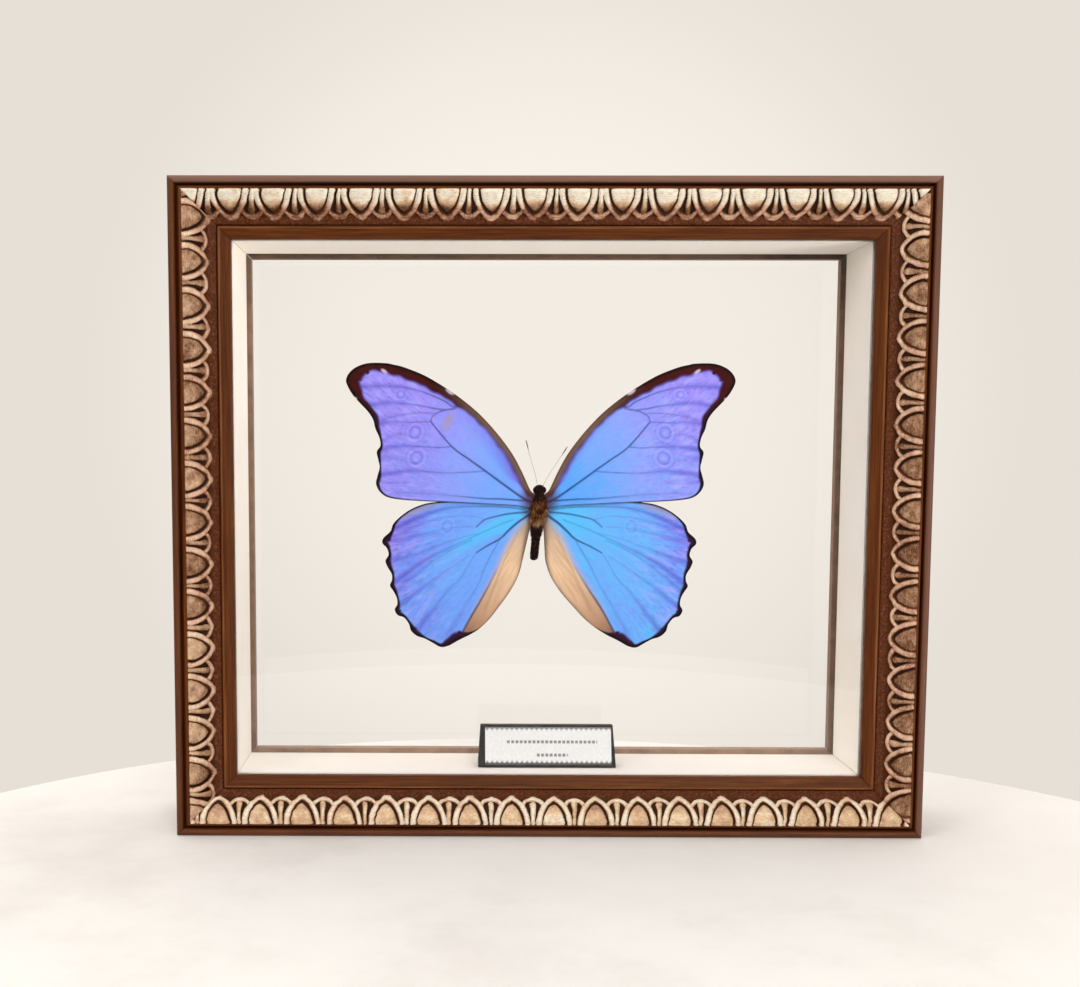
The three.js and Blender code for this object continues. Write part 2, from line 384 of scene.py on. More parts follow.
def section_rows():
    """The rail's section as (inward, back, place across the band), once round, densest on the band.

    The place is 0 at the band's outer side and 1 at its inner side, and less or more outside it.
    """
    rows = [(0.25, DEPTH), (0, DEPTH - 0.25), (0, 31), (0, 16), (0, 3)]
    bead_back, bead_steps = 1.7, 12
    for angle in np.linspace(math.pi, 0, bead_steps):
        rows.append((BEAD_RADIUS * (1 + math.cos(angle)), bead_back - BEAD_RADIUS * math.sin(angle)))
    rows += [(2.55, 2.6), (2.7, 3), (3, 3.05), (3.25, 2), (3.5, 0.95), (3.7, 0.5)]
    before = [(*row, -1) for row in rows]
    curve = spline(BAND, 12)
    reach = reach_along(curve)
    across = np.linspace(0, 1, BAND_ROWS)
    band_inward, band_back = (np.interp(across * reach[-1], reach, column) for column in curve.T)
    band = list(zip(band_inward, band_back, across))
    ground = [(13.1, 5.05), (13.4, 5.15), (13.7, 5.2), (14, 5.24), (14.3, 5.27), (14.7, 5.31), (15.1, 5.35)]
    band += [(inward, back, 1 + (inward - curve[-1, 0]) / reach[-1]) for inward, back in ground]
    rows = [(15.35, 5.5), (15.45, 5.95)]
    rows += [(15.65, 5.95), (15.75, 5), (15.85, 4.5), (16.1, 4.15), (16.45, 4.02), (16.9, 4.08)]
    rows += [(17.5, 4.3), (18.5, 4.7), (19.5, 5.12), (19.9, 5.32), (20.06, 5.5), (RAIL_WIDTH, 5.8)]
    rows += [(RAIL_WIDTH, LIP_BACK), (REBATE, LIP_BACK), (REBATE, 26), (REBATE, DEPTH)]
    after = [(*row, 2) for row in rows]
    return np.array(before + band + after), reach[-1]


SECTION, BAND_LENGTH = section_rows()


def hand_wobble(along, across, seed):
    """A slow unevenness, mostly between -1 and 1, as hand finishing leaves."""
    dice = np.random.default_rng(seed)
    total = np.zeros(np.broadcast(along, across).shape)
    for _ in range(7):
        run, cross = dice.uniform(0.08, 0.6), dice.uniform(0.3, 1.6)
        total += np.sin(along * run + across * cross + dice.uniform(0, 6.28))
    return total / 4


def arch_depth(aside, up, half_width, top, power):
    """How far inside a pointed arch a point lies, in mm.

    aside and half_width are in mm; up and top are shares of the band.
    """
    share = np.clip(up / top, 0, 0.999)
    width = half_width * (1 - share**2) ** power
    slope = -2 * half_width * power * share * (1 - share**2) ** (power - 1) / (top * BAND_LENGTH)
    inside = (width - aside) / np.sqrt(1 + slope**2)
    beyond = -np.hypot(aside, (up - top) * BAND_LENGTH)
    return np.where(up < top, inside, beyond)


def bell_depth(aside, up, centre, radius):
    """How far inside a round-topped upright a point lies, in mm. centre is where the round top springs."""
    over = np.maximum(up - centre, 0) * BAND_LENGTH
    return radius - np.hypot(aside, over)


# How far leaves and darts differ from one to the next: in place, in mm, and as shares of their size.
LEAF_SWAY, DART_SWAY, HOOD_SWAY = 0.14, 0.16, 0.2
TALL_SPREAD, WIDE_SPREAD = 0.018, 0.035
RAGGEDNESS = (0.1, 0.3)  # how far edges stray, in mm, at the border's start and at its tips

# The border's nested arches: half-width as a share of the leaf's pitch, on the faint and on the deep
# side, then how high the arch reaches, as a share of the band, and the power that shapes it.
LEAF_ARCH = ((0.268, 0.256), 0.75, 0.7)
GROOVE_ARCH = ((0.296, 0.312), 0.875, 0.68)
RIM_ARCH = ((0.438, 0.438), 1.015, 0.58)
HOOD_RADIUS = 4.3
HOOD_WALL = 1.2
HOOD_SPRING, HOLLOW_SPRING = 0.57, 0.545  # where the round tops begin, as shares of the band
DART_SPRING = 0.74
SOFT_EDGE = 0.16  # half the width over which one part passes into the next

# How deep parts of the border lie, in mm: at their sides, and how far their crests rise from there.
HOOD_DEPTH, HOOD_RISE = 0.72, 0.67
DART_DEPTH, DART_RISE = 0.75, 0.65
RIM_DEPTH, RIM_RISE = 0.66, 0.64
LEAF_DEPTH, LEAF_RISE = 0.85, 0.78
BED_DEPTH = 0.95  # of the surface between them
HOLLOW_DEPTH = 1.3  # of the hollow beside a dart
GROOVE_DEPTHS = 0.75, 1.25  # of a leaf's faint and deep grooves
GROUND_DEPTH = 0.1  # of grooves and hollows where they run out on the flat ground
TIP_HEIGHT = 0.55  # of the tips above the flat ground


def border_relief(along, across, seed, start, end):
    """The leaf-and-dart border: how deep its surface lies, how gilt it is, how hollow, and its crests.

    The carver's tool leaned to one side, so every groove is deep on one side of its leaf and faint on the
    other, and no two leaves are quite alike. The tips run out over the flat ground beside the band.
    """
    dice = np.random.default_rng(seed)
    uneven = dice.uniform(-1, 1, (9, 64))
    up = (across - start) / (end - start)
    place = along / LEAF_PITCH
    leaf_number = np.floor(place + 0.5).astype(int)
    dart_number = np.floor(place).astype(int)
    aside = (place - leaf_number) * LEAF_PITCH + LEAF_SWAY * uneven[0, leaf_number]
    dart_aside = (place - dart_number - 0.5) * LEAF_PITCH + DART_SWAY * uneven[1, dart_number]
    ragged = hand_wobble(along * 3, across * 14, seed + 9)
    ragged *= blend(*RAGGEDNESS, ramp_up(up, 0.55, 0.95))
    aside = aside + ragged
    dart_aside = dart_aside + ragged
    tall = 1 + TALL_SPREAD * uneven[2, leaf_number]
    wide = LEAF_PITCH * (1 + WIDE_SPREAD * uneven[3, leaf_number])
    deep_side = ramp_up(aside, -1.2, 1.2)
    gap = np.abs(aside)

    def arch(halves, top, power):
        return arch_depth(gap, up, blend(*halves, deep_side) * wide, top * tall, power)

    leaf, groove, rim = (arch(*shape) for shape in (LEAF_ARCH, GROOVE_ARCH, RIM_ARCH))
    hood_aside = dart_aside - (0.1 + HOOD_SWAY * uneven[4, dart_number])
    hood_radius = HOOD_RADIUS + 0.18 * uneven[5, dart_number]
    hood_outer = bell_depth(hood_aside, up, HOOD_SPRING, hood_radius)
    hood_inner = bell_depth(hood_aside, up, HOLLOW_SPRING, hood_radius - HOOD_WALL)
    dart_low = ramp_up(up, 0.1, 0.55)
    dart_half = np.where(dart_aside > 0, blend(0.5, 0.72, dart_low), 0.8)
    dart_half = dart_half + 0.3 * ramp_up(up, 0.45, 0.75) + 0.1 * uneven[6, dart_number]
    dart = bell_depth(dart_aside, up, DART_SPRING, dart_half)

    on_ground = ramp_up(across, 0.97, 1.04)
    depth = blend(BED_DEPTH, 0.0, on_ground)
    gilt = np.zeros(along.shape)
    hollow = blend(0.35, 0.0, on_ground)
    crest = np.zeros(along.shape)

    def lay(inside, new_depth, new_gilt, new_hollow, new_crest=0.0):
        nonlocal depth, gilt, hollow, crest
        share = ramp_up(inside, -SOFT_EDGE, SOFT_EDGE)
        depth = blend(depth, new_depth, share)
        gilt = blend(gilt, new_gilt, share)
        hollow = blend(hollow, new_hollow, share)
        crest = blend(crest, new_crest, share)

    def rounded(inside, half):
        """0 at a raised strip's edge and 1 along its crest."""
        return np.sqrt(np.clip(1 - (1 - np.clip(inside / half, 0, 1)) ** 2, 0, 1))

    standing = -TIP_HEIGHT * on_ground
    hood_crest = rounded(np.minimum(hood_outer, -hood_inner), 0.5)
    rim_crest = rounded(np.minimum(rim, -groove), 0.8)
    groove_depth = blend(*GROOVE_DEPTHS, deep_side)
    lay(hood_outer, HOOD_DEPTH - HOOD_RISE * hood_crest + standing, 1, 0, hood_crest)
    lay(hood_inner, blend(HOLLOW_DEPTH, GROUND_DEPTH, on_ground), 0, 1)
    lay(dart, DART_DEPTH - DART_RISE * rounded(dart, 0.8), 1, 0, 0.5)
    lay(rim, RIM_DEPTH - RIM_RISE * rim_crest + standing, 1, 0, rim_crest)
    lay(groove, blend(groove_depth, GROUND_DEPTH, on_ground), 0, blend(0.6, 1, deep_side))
    lay(leaf, LEAF_DEPTH - LEAF_RISE * rounded(leaf, 2.2), 1, 0, 0.35 + 0.2 * uneven[7, leaf_number])
    on_band = ramp_up(up, -0.015, 0.015)
    return depth * on_band, gilt * on_band, hollow * on_band, crest * on_band


def add_rail(side, finish, seed):
    bar = SIDES[side]
    inward, back, across = SECTION.T
    tangent = np.gradient(np.column_stack([inward, back]), axis=0)
    tangent /= np.hypot(*tangent.T)[:, None]
    normal = np.column_stack([tangent[:, 1], -tangent[:, 0]])
    columns = int(bar["length"] / COLUMN_STEP) + 1
    share = np.linspace(-1, 1, columns)
    half = bar["length"] / 2 - MITRE_GAP - inward
    along = half[:, None] * share
    on_band = (across >= 0) & (across < 2)
    depth, gilt, hollow, crest = np.zeros((4, *along.shape))
    band_across = np.broadcast_to(across[on_band, None], along[on_band].shape)
    depth[on_band], gilt[on_band], hollow[on_band], crest[on_band] = border_relief(
        along[on_band] - bar["leaf"], band_across, seed, *bar["band"]
    )
    wobble = hand_wobble(along, inward[:, None] * 2, seed)
    depth[on_band] += HAND_UNEVENNESS * wobble[on_band]
    ground = (inward > GROUND_START) & (inward < GROUND_END)
    dice = np.random.default_rng(seed + 50)
    depth[ground] += dice.normal(0, GROUND_PITTING, along[ground].shape) * (1 - gilt[ground])
    worn = np.interp(share, (-1, 0, 1), bar["worn"]) + PATCHINESS * hand_wobble(share * 60, 0, seed + 20)
    # Painted light and shade on the gilt: lighter or darker by how the bar faces the lamps, with a painted
    # highlight on crests and patchy darkening along the bar.
    gilt_light_and_wear = blend(*bar["gilt_light_and_wear"], ramp_up(across, 0.3, 0.8))[:, None]
    gilt_light_and_wear = gilt_light_and_wear + CREST_HIGHLIGHT * (crest - 0.45) - worn
    depth = np.maximum(depth, 0)
    inward = inward[:, None] - normal[:, :1] * depth
    back = back[:, None] - normal[:, 1:] * depth
    along = (bar["length"] / 2 - MITRE_GAP - inward) * share
    cos, sin = math.cos(bar["turn"]), math.sin(bar["turn"])
    x = bar["origin"][0] + along * cos + inward * sin
    z = bar["origin"][1] - along * sin + inward * cos
    points = as_points(x, FRONT + back, z)
    rows = len(SECTION)
    faces = grid_faces(rows, columns, wrap_rows=True)
    faces.append([row * columns for row in range(rows)])
    faces.append([row * columns + columns - 1 for row in reversed(range(rows))])
    rail = make_mesh(f"rail_{side}", points, faces, finish)
    smooth = np.zeros(len(faces), bool)
    smooth[FLAT_STRIPS_BEFORE * (columns - 1):(rows - FLAT_STRIPS_AFTER) * (columns - 1)] = True
    rail.data.polygons.foreach_set("use_smooth", smooth)
    reach = np.broadcast_to(reach_along(SECTION[:, :2])[:, None], along.shape)
    keep_vector(rail, "grain", as_points(along, reach, np.full(along.shape, seed * 7.0)))
    bead = np.clip(1 - np.abs(SECTION[:, 0] - BEAD_RADIUS) / 1.4, 0, 1) * (across < 0)
    marks = {
        "gilt": gilt, "hollow": hollow, "gilt_light_and_wear": gilt_light_and_wear, "crest": crest,
        "ground": ramp_up(inward, GROUND_START - 0.9, GROUND_START)
        * ramp_down(inward, GROUND_END, GROUND_END + 0.3),
        # A painted highlight on the outer bead, strongest on the top bar.
        "sheen": bar["sheen"] * ramp_up(bead, 0, 0.5)[:, None],
        # A painted highlight along the lip's rounded edge.
        "lip_highlight": (hump(SECTION[:, 0] - LIP_HIGHLIGHT_INWARD, 0.3) * (SECTION[:, 1] < LIP_HIGHLIGHT_BACK))[:, None],
    }
    for name, values in marks.items():
        keep_number(rail, name, np.broadcast_to(values, along.shape).ravel())
    stand_in(rail, "frame_wood", f"frame_rail_{side}")


def frame_finish():
    """Brown lacquered wood; worn champagne gilt where the border stands up, dark glaze in its hollows; light
    and shade painted onto the gilt, and painted highlights on the outer bead and the lip's edge.
    """
    look = Finish("frame_wood_and_gilt", 0.4, 0.3)
    grain = look.vector("grain")
    long_grain = look.noise(look.stretched(grain, (0.035, 1.1, 1)), 1.6, 6, 0.6)
    fine_grain = look.noise(look.stretched(grain, (0.12, 4.5, 1)), 1.5, 4, 0.6)
    wood = look.ramp(long_grain, (0.3, rgb(60, 22, 2)), (0.5, rgb(92, 42, 6)), (0.72, rgb(120, 64, 18)))
    wood = look.mix(look.ramp(fine_grain, (0.35, 0.0), (0.7, 0.42)), wood, rgb(66, 27, 8))
    figure = look.noise(look.stretched(grain, (0.07, 1, 1)), 0.2, 3, 0.45)
    wood = look.mix(look.ramp(figure, (0.36, 0.3), (0.54, 0.0)), wood, rgb(64, 22, 2))
    wood = look.mix(look.ramp(figure, (0.5, 0.0), (0.68, 0.2)), wood, rgb(134, 78, 28))
    # Painted highlight on the outer bead.
    wood = look.marked(wood, "sheen", 0.55, rgb(160, 128, 116))
    # Painted highlight along the lip's edge, patchy with the grain.
    wood = look.marked(wood, "lip_highlight", look.ramp(long_grain, (0.35, 0.15), (0.65, 0.7)), rgb(168, 112, 70))
    patina = look.noise(grain, 0.28, 4, 0.6)
    speckle = look.noise(grain, 1.4, 4, 0.7)
    ground = look.ramp(speckle, (0.35, rgb(62, 24, 8)), (0.55, rgb(98, 48, 24)), (0.75, rgb(142, 90, 60)))
    base = look.mix(look.number("ground"), wood, ground)
    glaze = look.ramp(speckle, (0.3, rgb(22, 2, 0)), (0.8, rgb(60, 20, 4)))
    base = look.mix(look.number("hollow"), base, glaze)
    # The gilt's painted light and shade, roughened by patina and speckle, picks its colour from dark bronze
    # to pale champagne.
    gilt_light_and_wear = look.math("ADD", look.number("gilt_light_and_wear"), look.centred(patina, 1.2))
    gilt_light_and_wear = look.math("ADD", gilt_light_and_wear, look.centred(speckle, 0.34), clamp=True)
    flats = look.ramp(gilt_light_and_wear, (0.0, rgb(106, 66, 42)), (0.25, rgb(160, 118, 88)), (0.5, rgb(206, 167, 136)),
                      (0.75, rgb(236, 202, 162)), (1.0, rgb(255, 246, 226)))
    crests = look.ramp(gilt_light_and_wear, (0.0, rgb(124, 70, 48)), (0.25, rgb(176, 124, 98)), (0.5, rgb(220, 174, 148)),
                       (0.75, rgb(244, 208, 178)), (1.0, rgb(255, 242, 222)))
    leaf = look.mix(look.ramp(look.number("crest"), (0.5, 0.0), (0.8, 1.0)), flats, crests)
    scratch = look.noise(look.stretched(grain, (0.5, 3.2, 1)), 1.3, 4, 0.6)
    leaf = look.mix(look.ramp(scratch, (0.34, 0.4), (0.5, 0.0)), leaf, rgb(120, 82, 54))
    leaf = look.mix(look.ramp(scratch, (0.54, 0.0), (0.68, 0.3)), leaf, rgb(244, 222, 194))
    rubbed = look.ramp(speckle, (0.36, 0.0), (0.48, 1.0))
    whole = look.math("MAXIMUM", rubbed, look.ramp(gilt_light_and_wear, (0.15, 0.4), (0.45, 0.97)))
    cover = look.times(look.ramp(look.number("gilt"), (0.4, 0.0), (0.75, 1.0)), whole)
    look.set(
        Base_Color=look.mix(cover, base, leaf),
        Metallic=look.times(cover, 0.15),
        Roughness=look.ramp(patina, (0.3, 0.34), (0.7, 0.48)),
    )
    look.surface.inputs["Specular Tint"].default_value = rgb(255, 220, 192)
    look.bump(look.math("ADD", look.times(fine_grain, 0.4), speckle), 0.12, 0.6)
    return look.material


rail_finish = frame_finish()
for number, rail_side in enumerate(SIDES):
    add_rail(rail_side, rail_finish, number + 1)

# ---- Liner boards, stops and panes: CAD solids with their own finishes ----


def dress(finish, *nodes):
    for node in nodes:
        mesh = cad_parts[node].data
        mesh.materials.clear()
        mesh.materials.append(finish)


def sided(prefix):
    return [f"{prefix}_{side}" for side in SIDES]


def liner_finish(name, low, high):
    look = Finish(name, 0.75)
    place = look.place()
    cloud = look.noise(place, 25, 4)
    tooth = look.noise(place, 1800, 2)
    look.set(Base_Color=look.ramp(cloud, (0.3, low), (0.7, high)))
    look.bump(tooth, 0.05, 0.4)
    return look.material


def stop_finish(name, low, high):
    look = Finish(name, 0.5, 0.15)
    place = look.place()
    grain = look.noise(look.stretched(place, (60, 400, 60)), 3, 5)
    look.set(Base_Color=look.ramp(grain, (0.3, low), (0.7, high)))
    look.bump(grain, 0.1, 0.4)
    return look.material


GLASS_REFLECTION = (0.5, 0.5, 0.5, 1)  # thin coated panes throw back half of what plain glass would


def glass_finish(name="clear_glass", colour=(1, 1, 1, 1), roughness=0.0):
    """Clear glass that lets lamplight through to what stands behind it."""
    look = Finish(name, roughness)
    look.surface.inputs["Base Color"].default_value = colour
    look.surface.inputs["IOR"].default_value = 1.45
    look.surface.inputs["Specular Tint"].default_value = GLASS_REFLECTION
    look.surface.inputs["Transmission Weight"].default_value = 1
    clear = look.nodes.new("ShaderNodeBsdfTransparent")
    shadow = look.nodes.new("ShaderNodeLightPath")
    either = look.nodes.new("ShaderNodeMixShader")
    look.links.new(shadow.outputs["Is Shadow Ray"], either.inputs[0])
    look.links.new(look.surface.outputs[0], either.inputs[1])
    look.links.new(clear.outputs[0], either.inputs[2])
    look.links.new(either.outputs[0], look.nodes["Material Output"].inputs["Surface"])
    return look.material


dress(liner_finish("cream_board", rgb(252, 243, 232), rgb(255, 250, 241)), *sided("liner"))
# The bottom board's copy of the cream finish is toned against the strong light from above: painted shade.
dress(liner_finish("cream_board_below_painted_shade", rgb(251, 243, 235), rgb(255, 250, 244)), "liner_bottom")
dress(stop_finish("stained_wood", rgb(116, 84, 64), rgb(142, 109, 86)), *sided("rear_stop"))
# The top stop's copy is darker, a painted shade; the bottom stop's is lighter, painted light and reflection.
dress(stop_finish("stained_wood_painted_shade_above", rgb(86, 58, 42), rgb(110, 80, 60)), "rear_stop_top")
dress(stop_finish("stained_wood_painted_light_below", rgb(138, 106, 86), rgb(166, 134, 110)), "rear_stop_bottom")
dress(glass_finish(), "front_glass", "rear_glass")

# ---- Wings ----

# Each outline runs from the root along the front edge, round the outer edge and back. A row is
# (outward, up, width of the dark border there).
FOREWING_OUTLINE = [
    (1.8, 3.4, 1.6), (3.4, 5.2, 1.8), (6.3, 11.4, 1.9), (9.4, 17.2, 1.9), (12.9, 22.2, 1.9),
    (17.1, 27.3, 1.9), (22, 32.4, 2.1), (27.8, 37.2, 2.6), (34, 41.5, 3), (41.5, 45.8, 3.4),
    (48.6, 48.6, 3.4), (52.3, 49.5, 3.5), (55, 50, 2.7), (61, 50, 2.7), (65.2, 48.7, 4), (67.9, 46.6, 4.9),
    (69.1, 43.9, 4.8), (68.1, 41, 4.1), (66.2, 38.1, 3.2), (64, 35.7, 2.3), (61.2, 32.7, 1.9),
    (59.5, 30, 1.9), (58.7, 26.9, 1.6), (57.3, 23.7, 0.8), (56.9, 20.8, 0.8), (58.2, 18.7, 1.6),
    (57.7, 15.8, 0.9), (57.2, 13.1, 0.5), (58, 10, 1.3), (58.5, 7.3, 1.3), (57.3, 4.6, 0.8),
    (54.7, 2.6, 0.55), (50.5, 1.7, 0.4), (42.5, 1.1, 0.3), (30, 0.6, 0.25), (18, 0, 0.2),
    (8, -0.6, 0.2), (1.8, -1.2, 0.2),
]
FOREWING_CELL = [(3, 0.8), (6.5, 2.6), (14, 7.9), (20, 12.3), (25.5, 16.2), (31.5, 20.6), (39, 29.4)]
# Each vein is (darkness, width at its root, width at its tip, haze round its outer end, points).
FOREWING_VEINS = [
    (1.0, 0.55, 0.3, 0.0, FOREWING_CELL),
    (0.7, 0.3, 0.4, 0.0, [(39, 29.4), (38.2, 31.4), (36, 32.8), (33, 33.6), (30, 34.1)]),
    (0.8, 0.4, 0.3, 0.7, [(28, 35.6), (31, 34.6), (34, 36.6), (41, 39.6), (48, 41.4), (55.5, 42),
                          (64, 41.6)]),
    (0.7, 0.4, 0.3, 0.7, [(30, 34.1), (33, 33.6), (37.5, 34), (44, 35.2), (52, 36), (57, 35.8),
                          (62, 34.9)]),
    (0.45, 0.3, 0.3, 0.6, [(38, 32.4), (44, 32.4), (51, 31.4), (54.5, 30.4), (59, 28.2)]),
    (0.5, 0.3, 0.3, 0.7, [(39, 29.4), (46, 29.1), (53.5, 29.3), (58.6, 28.3)]),
    (0.6, 0.3, 0.3, 0.8, [(31.5, 20.6), (36, 20.2), (42, 20.5), (48, 20.7), (54, 20), (57.6, 19.2)]),
    (0.6, 0.3, 0.3, 0.8, [(19.5, 11.9), (26.5, 11.4), (33.5, 11.2), (40, 11.6), (45, 12), (52, 11.2),
                          (57.8, 10.4)]),
    (0.9, 0.45, 0.25, 0.2, [(3, 1.2), (8, 1.5), (14, 1.9), (20.5, 2.1), (29, 2.9), (36, 3.5), (43.5, 4),
                            (51, 4)]),
    (0.25, 0.3, 0.3, 0.5, [(45, 8), (51, 7.6), (57.6, 8.3)]),
    (0.25, 0.3, 0.3, 0.5, [(45, 23.6), (49, 25), (53, 24.2), (57.4, 22)]),
    (0.2, 0.3, 0.3, 0.5, [(44, 14.2), (49, 15.6), (53, 16.6), (57.6, 16)]),
]
# Each ring is (outward, up, radius, strength): eyespots that show through from below.
FOREWING_RINGS = [(44.5, 25.6, 1.9, 0.8), (44, 16.6, 2, 0.8), (49.6, 39, 1.3, 0.7)]
FLECK_SLOPE = math.radians(-34)
# Each fleck is (outward, up, half-length, half-width).
FOREWING_FLECKS = [(55.6, 47.2, 1.3, 0.6), (32.2, 39.9, 1.9, 0.7), (65.6, 37.6, 0.5, 0.4)]
FOREWING_BLOTS = [(52.6, 46.9, 1.0), (49.5, 46.9, 0.9), (61.5, 46.8, 0.8)]  # dark: (outward, up, radius)
WORN_PATCH = (33, 29.5)  # where the left forewing has lost scales

HINDWING_OUTLINE = [
    (1.8, 1, 0.3), (6, 0.6, 0.3), (18.7, 1, 0.3), (31.5, 1.1, 0.35), (38.8, 0.5, 0.45),
    (42.6, -0.4, 0.5), (46.4, -2.1, 0.5), (49.8, -4.5, 0.55), (52.4, -7.2, 0.9), (53.4, -9.8, 1.1),
    (55.9, -12.2, 2.8), (56.3, -14.1, 2.6), (54.7, -15.9, 1.2), (54.1, -18.3, 1), (55.2, -20.4, 2),
    (54.5, -22.6, 1.7), (53, -25.2, 0.9), (52.9, -27.4, 0.9), (53.6, -29.4, 1.7), (52.4, -31.4, 1.3),
    (51.2, -33.8, 0.7), (51, -36.2, 1), (51.9, -38.2, 2.1), (50.8, -40.2, 2), (48.6, -41, 0.9),
    (46.8, -43.3, 0.9), (46, -45.8, 2), (43.9, -47.7, 1.8), (41, -48.7, 0.7), (38.2, -50.2, 0.9),
    (35.3, -51.7, 1.3), (32.4, -51.2, 2.1), (29, -49.3, 2.8), (26.6, -48.1, 2.1), (24.6, -47.1, 0.9),
    (21, -44.8, 0.15), (17.2, -41.4, 0.08), (13.6, -37.2, 0.08), (9.2, -31.6, 0.08), (6, -26.2, 0.08),
    (4.3, -21, 0.08), (3.4, -15.5, 0.08), (2.6, -10, 0.08), (1.8, -6, 0.1),
]
HINDWING_DIVIDE = [(4, -5.4), (6.6, -9), (8.6, -11.8), (10.8, -16), (13.5, -22), (17, -28.4),
                   (20.5, -34.2), (24, -40), (27.4, -46.2), (30, -50)]
HINDWING_VEINS = [
    (0.6, 0.35, 0.35, 0.9, [(5, -1.9), (12, -1.1), (20.5, -0.8), (28, -0.9), (34, -1.7), (39, -3.1),
                            (44, -5), (48, -7), (52.5, -9)]),
    (0.85, 0.5, 0.3, 0.0, [(4, -2.8), (10.5, -3.4), (15.5, -4.4), (19.5, -5.6), (22.5, -8.1)]),
    (0.25, 0.3, 0.3, 0.5, [(19.5, -5.4), (24.5, -4.3), (30, -4.3), (36, -5.2), (43, -7.2), (47.5, -9.4),
                           (53, -12)]),
    (1.0, 0.62, 0.3, 0.0, [(3, -3.6), (5, -5), (7.5, -6.8), (10.5, -9.5), (13.5, -12.4), (18.5, -15),
                           (22.5, -17.4)]),
    (0.4, 0.35, 0.3, 0.3, [(13.5, -12.4), (15, -15.3), (17, -18.7), (19, -22.5), (21, -27.4), (24, -32.7),
                           (27.5, -38.5), (31, -44.5), (34, -50.5)]),
    (0.3, 0.3, 0.3, 0.7, [(22.5, -17.4), (25.5, -22), (28, -26.4), (32, -30.6), (35, -34.2), (38.5, -38.7),
                          (44.8, -47)]),
    (0.4, 0.3, 0.4, 0.8, [(9, -5.5), (14, -7.4), (20.5, -10.2), (26, -12.8), (32, -15.6), (38, -18.6),
                          (43.5, -21.8), (53.2, -29.4)]),
    (0.25, 0.3, 0.3, 0.6, [(20.5, -10.2), (28, -12), (36, -14.8), (44, -17.8), (55, -21)]),
    (0.2, 0.3, 0.3, 0.6, [(24, -8), (32, -8.6), (40, -10.4), (46.5, -12), (55.6, -13.6)]),
    (0.25, 0.3, 0.3, 0.7, [(25, -18.4), (32, -23.2), (39, -28), (44.5, -32.2), (51.4, -38)]),
    (0.3, 0.4, 0.4, 0.5, [(24, -12.8), (30, -15.6), (38, -20.4), (46, -26.6), (52.6, -32)]),
]
HINDWING_RINGS = [(33, -8, 1.8, 0.45)]
HINDWING_BLOTS = [(28.5, -46.6, 0.9)]
HINDWING_GLOW = [(5, -4), (22, -11.5), (44, -25.6)]  # the line of bluest scales
HINDWING_FOLD = [(7, -10.5), (12.5, -22.5), (15.5, -30), (19, -38)]
HINDWING_UNDER_EYES = [(14, -33, 2.4), (24, -36, 2.2), (37, -19, 2)]

WING_REACH = 70
WING_LIFT = 0.5
FOLD_DEPTH = 0.09
OUTLINE_STEPS = 7
WING_STEP = 0.31
UNDERSIDE_STEP = 0.9


def within(points, outline):
    """Which points lie inside a closed outline."""
    inside = np.zeros(len(points), bool)
    for (x1, y1), (x2, y2) in zip(outline, np.roll(outline, -1, 0)):
        crosses = (y1 > points[:, 1]) != (y2 > points[:, 1])
        inside ^= crosses & (points[:, 0] < (x2 - x1) * (points[:, 1] - y1) / (y2 - y1 + 1e-12) + x1)
    return inside


def fill_outline(outline, step, seed):
    """Triangles that fill a closed outline, from its own points and a slightly uneven net inside it."""
    dice = np.random.default_rng(seed)
    low, high = outline.min(0), outline.max(0)
    rows = np.arange(low[1], high[1], step * 0.866)
    net = []
    for number, up in enumerate(rows):
        across = np.arange(low[0] + (number % 2) * step / 2, high[0], step)
        net.append(np.column_stack([across, np.full(len(across), up)]))
    net = np.vstack(net)
    net += dice.uniform(-0.12, 0.12, net.shape) * step
    net = net[within(net, outline)]
    clear, _, _ = nearest_on_line(net, looped(outline))
    net = net[clear > step * 0.45]
    loop = list(range(len(outline)))
    sites = [Vector(point) for point in np.vstack([outline, net])]
    found = delaunay_2d_cdt(sites, [], [loop], 1, 1e-6, False)
    points = np.array([tuple(point) for point in found[0]])
    triangles = np.array([list(face) for face in found[2]])
    triangles = triangles[within(points[triangles].mean(1), outline)]
    x, y = np.moveaxis(points[triangles], 2, 0)
    turns_right = (x[:, 1] - x[:, 0]) * (y[:, 2] - y[:, 0]) < (x[:, 2] - x[:, 0]) * (y[:, 1] - y[:, 0])
    triangles[turns_right] = triangles[turns_right][:, ::-1]
    return points, triangles.tolist()


def wing_form(points):
    """How far the wing's surface stands towards the viewer: a gentle lift and soft folds."""
    outward, up = points.T
    reach = np.hypot(outward, up)
    lift = WING_LIFT * np.sin(np.clip(reach / WING_REACH, 0, 1) * math.pi)
    folds = FOLD_DEPTH * np.sin(np.arctan2(up, outward) * 23) * ramp_up(reach, 8, 30)
    return lift + folds


def vein_shade(points, veins):
    """How dark each vein's own line is, and how strong the haze round its outer end."""
    core = np.zeros(len(points))
    haze = np.zeros(len(points))
    for darkness, root, tip, haze_strength, line in veins:
        gap, along, _ = nearest_on_line(points, spline(line, 5))
        width = blend(root, tip, along)
        fade = 1 - 0.75 * ramp_up(along, 0.15, 0.8) * (haze_strength > 0)
        core = np.maximum(core, darkness * fade * ramp_down(gap, width * 0.3, width * 1.2))
        soft = haze_strength * ramp_up(along, 0.2, 0.95) * ramp_down(gap, 0.1, 0.7 + 1.3 * along)
        haze = np.maximum(haze, soft)
    return core, haze


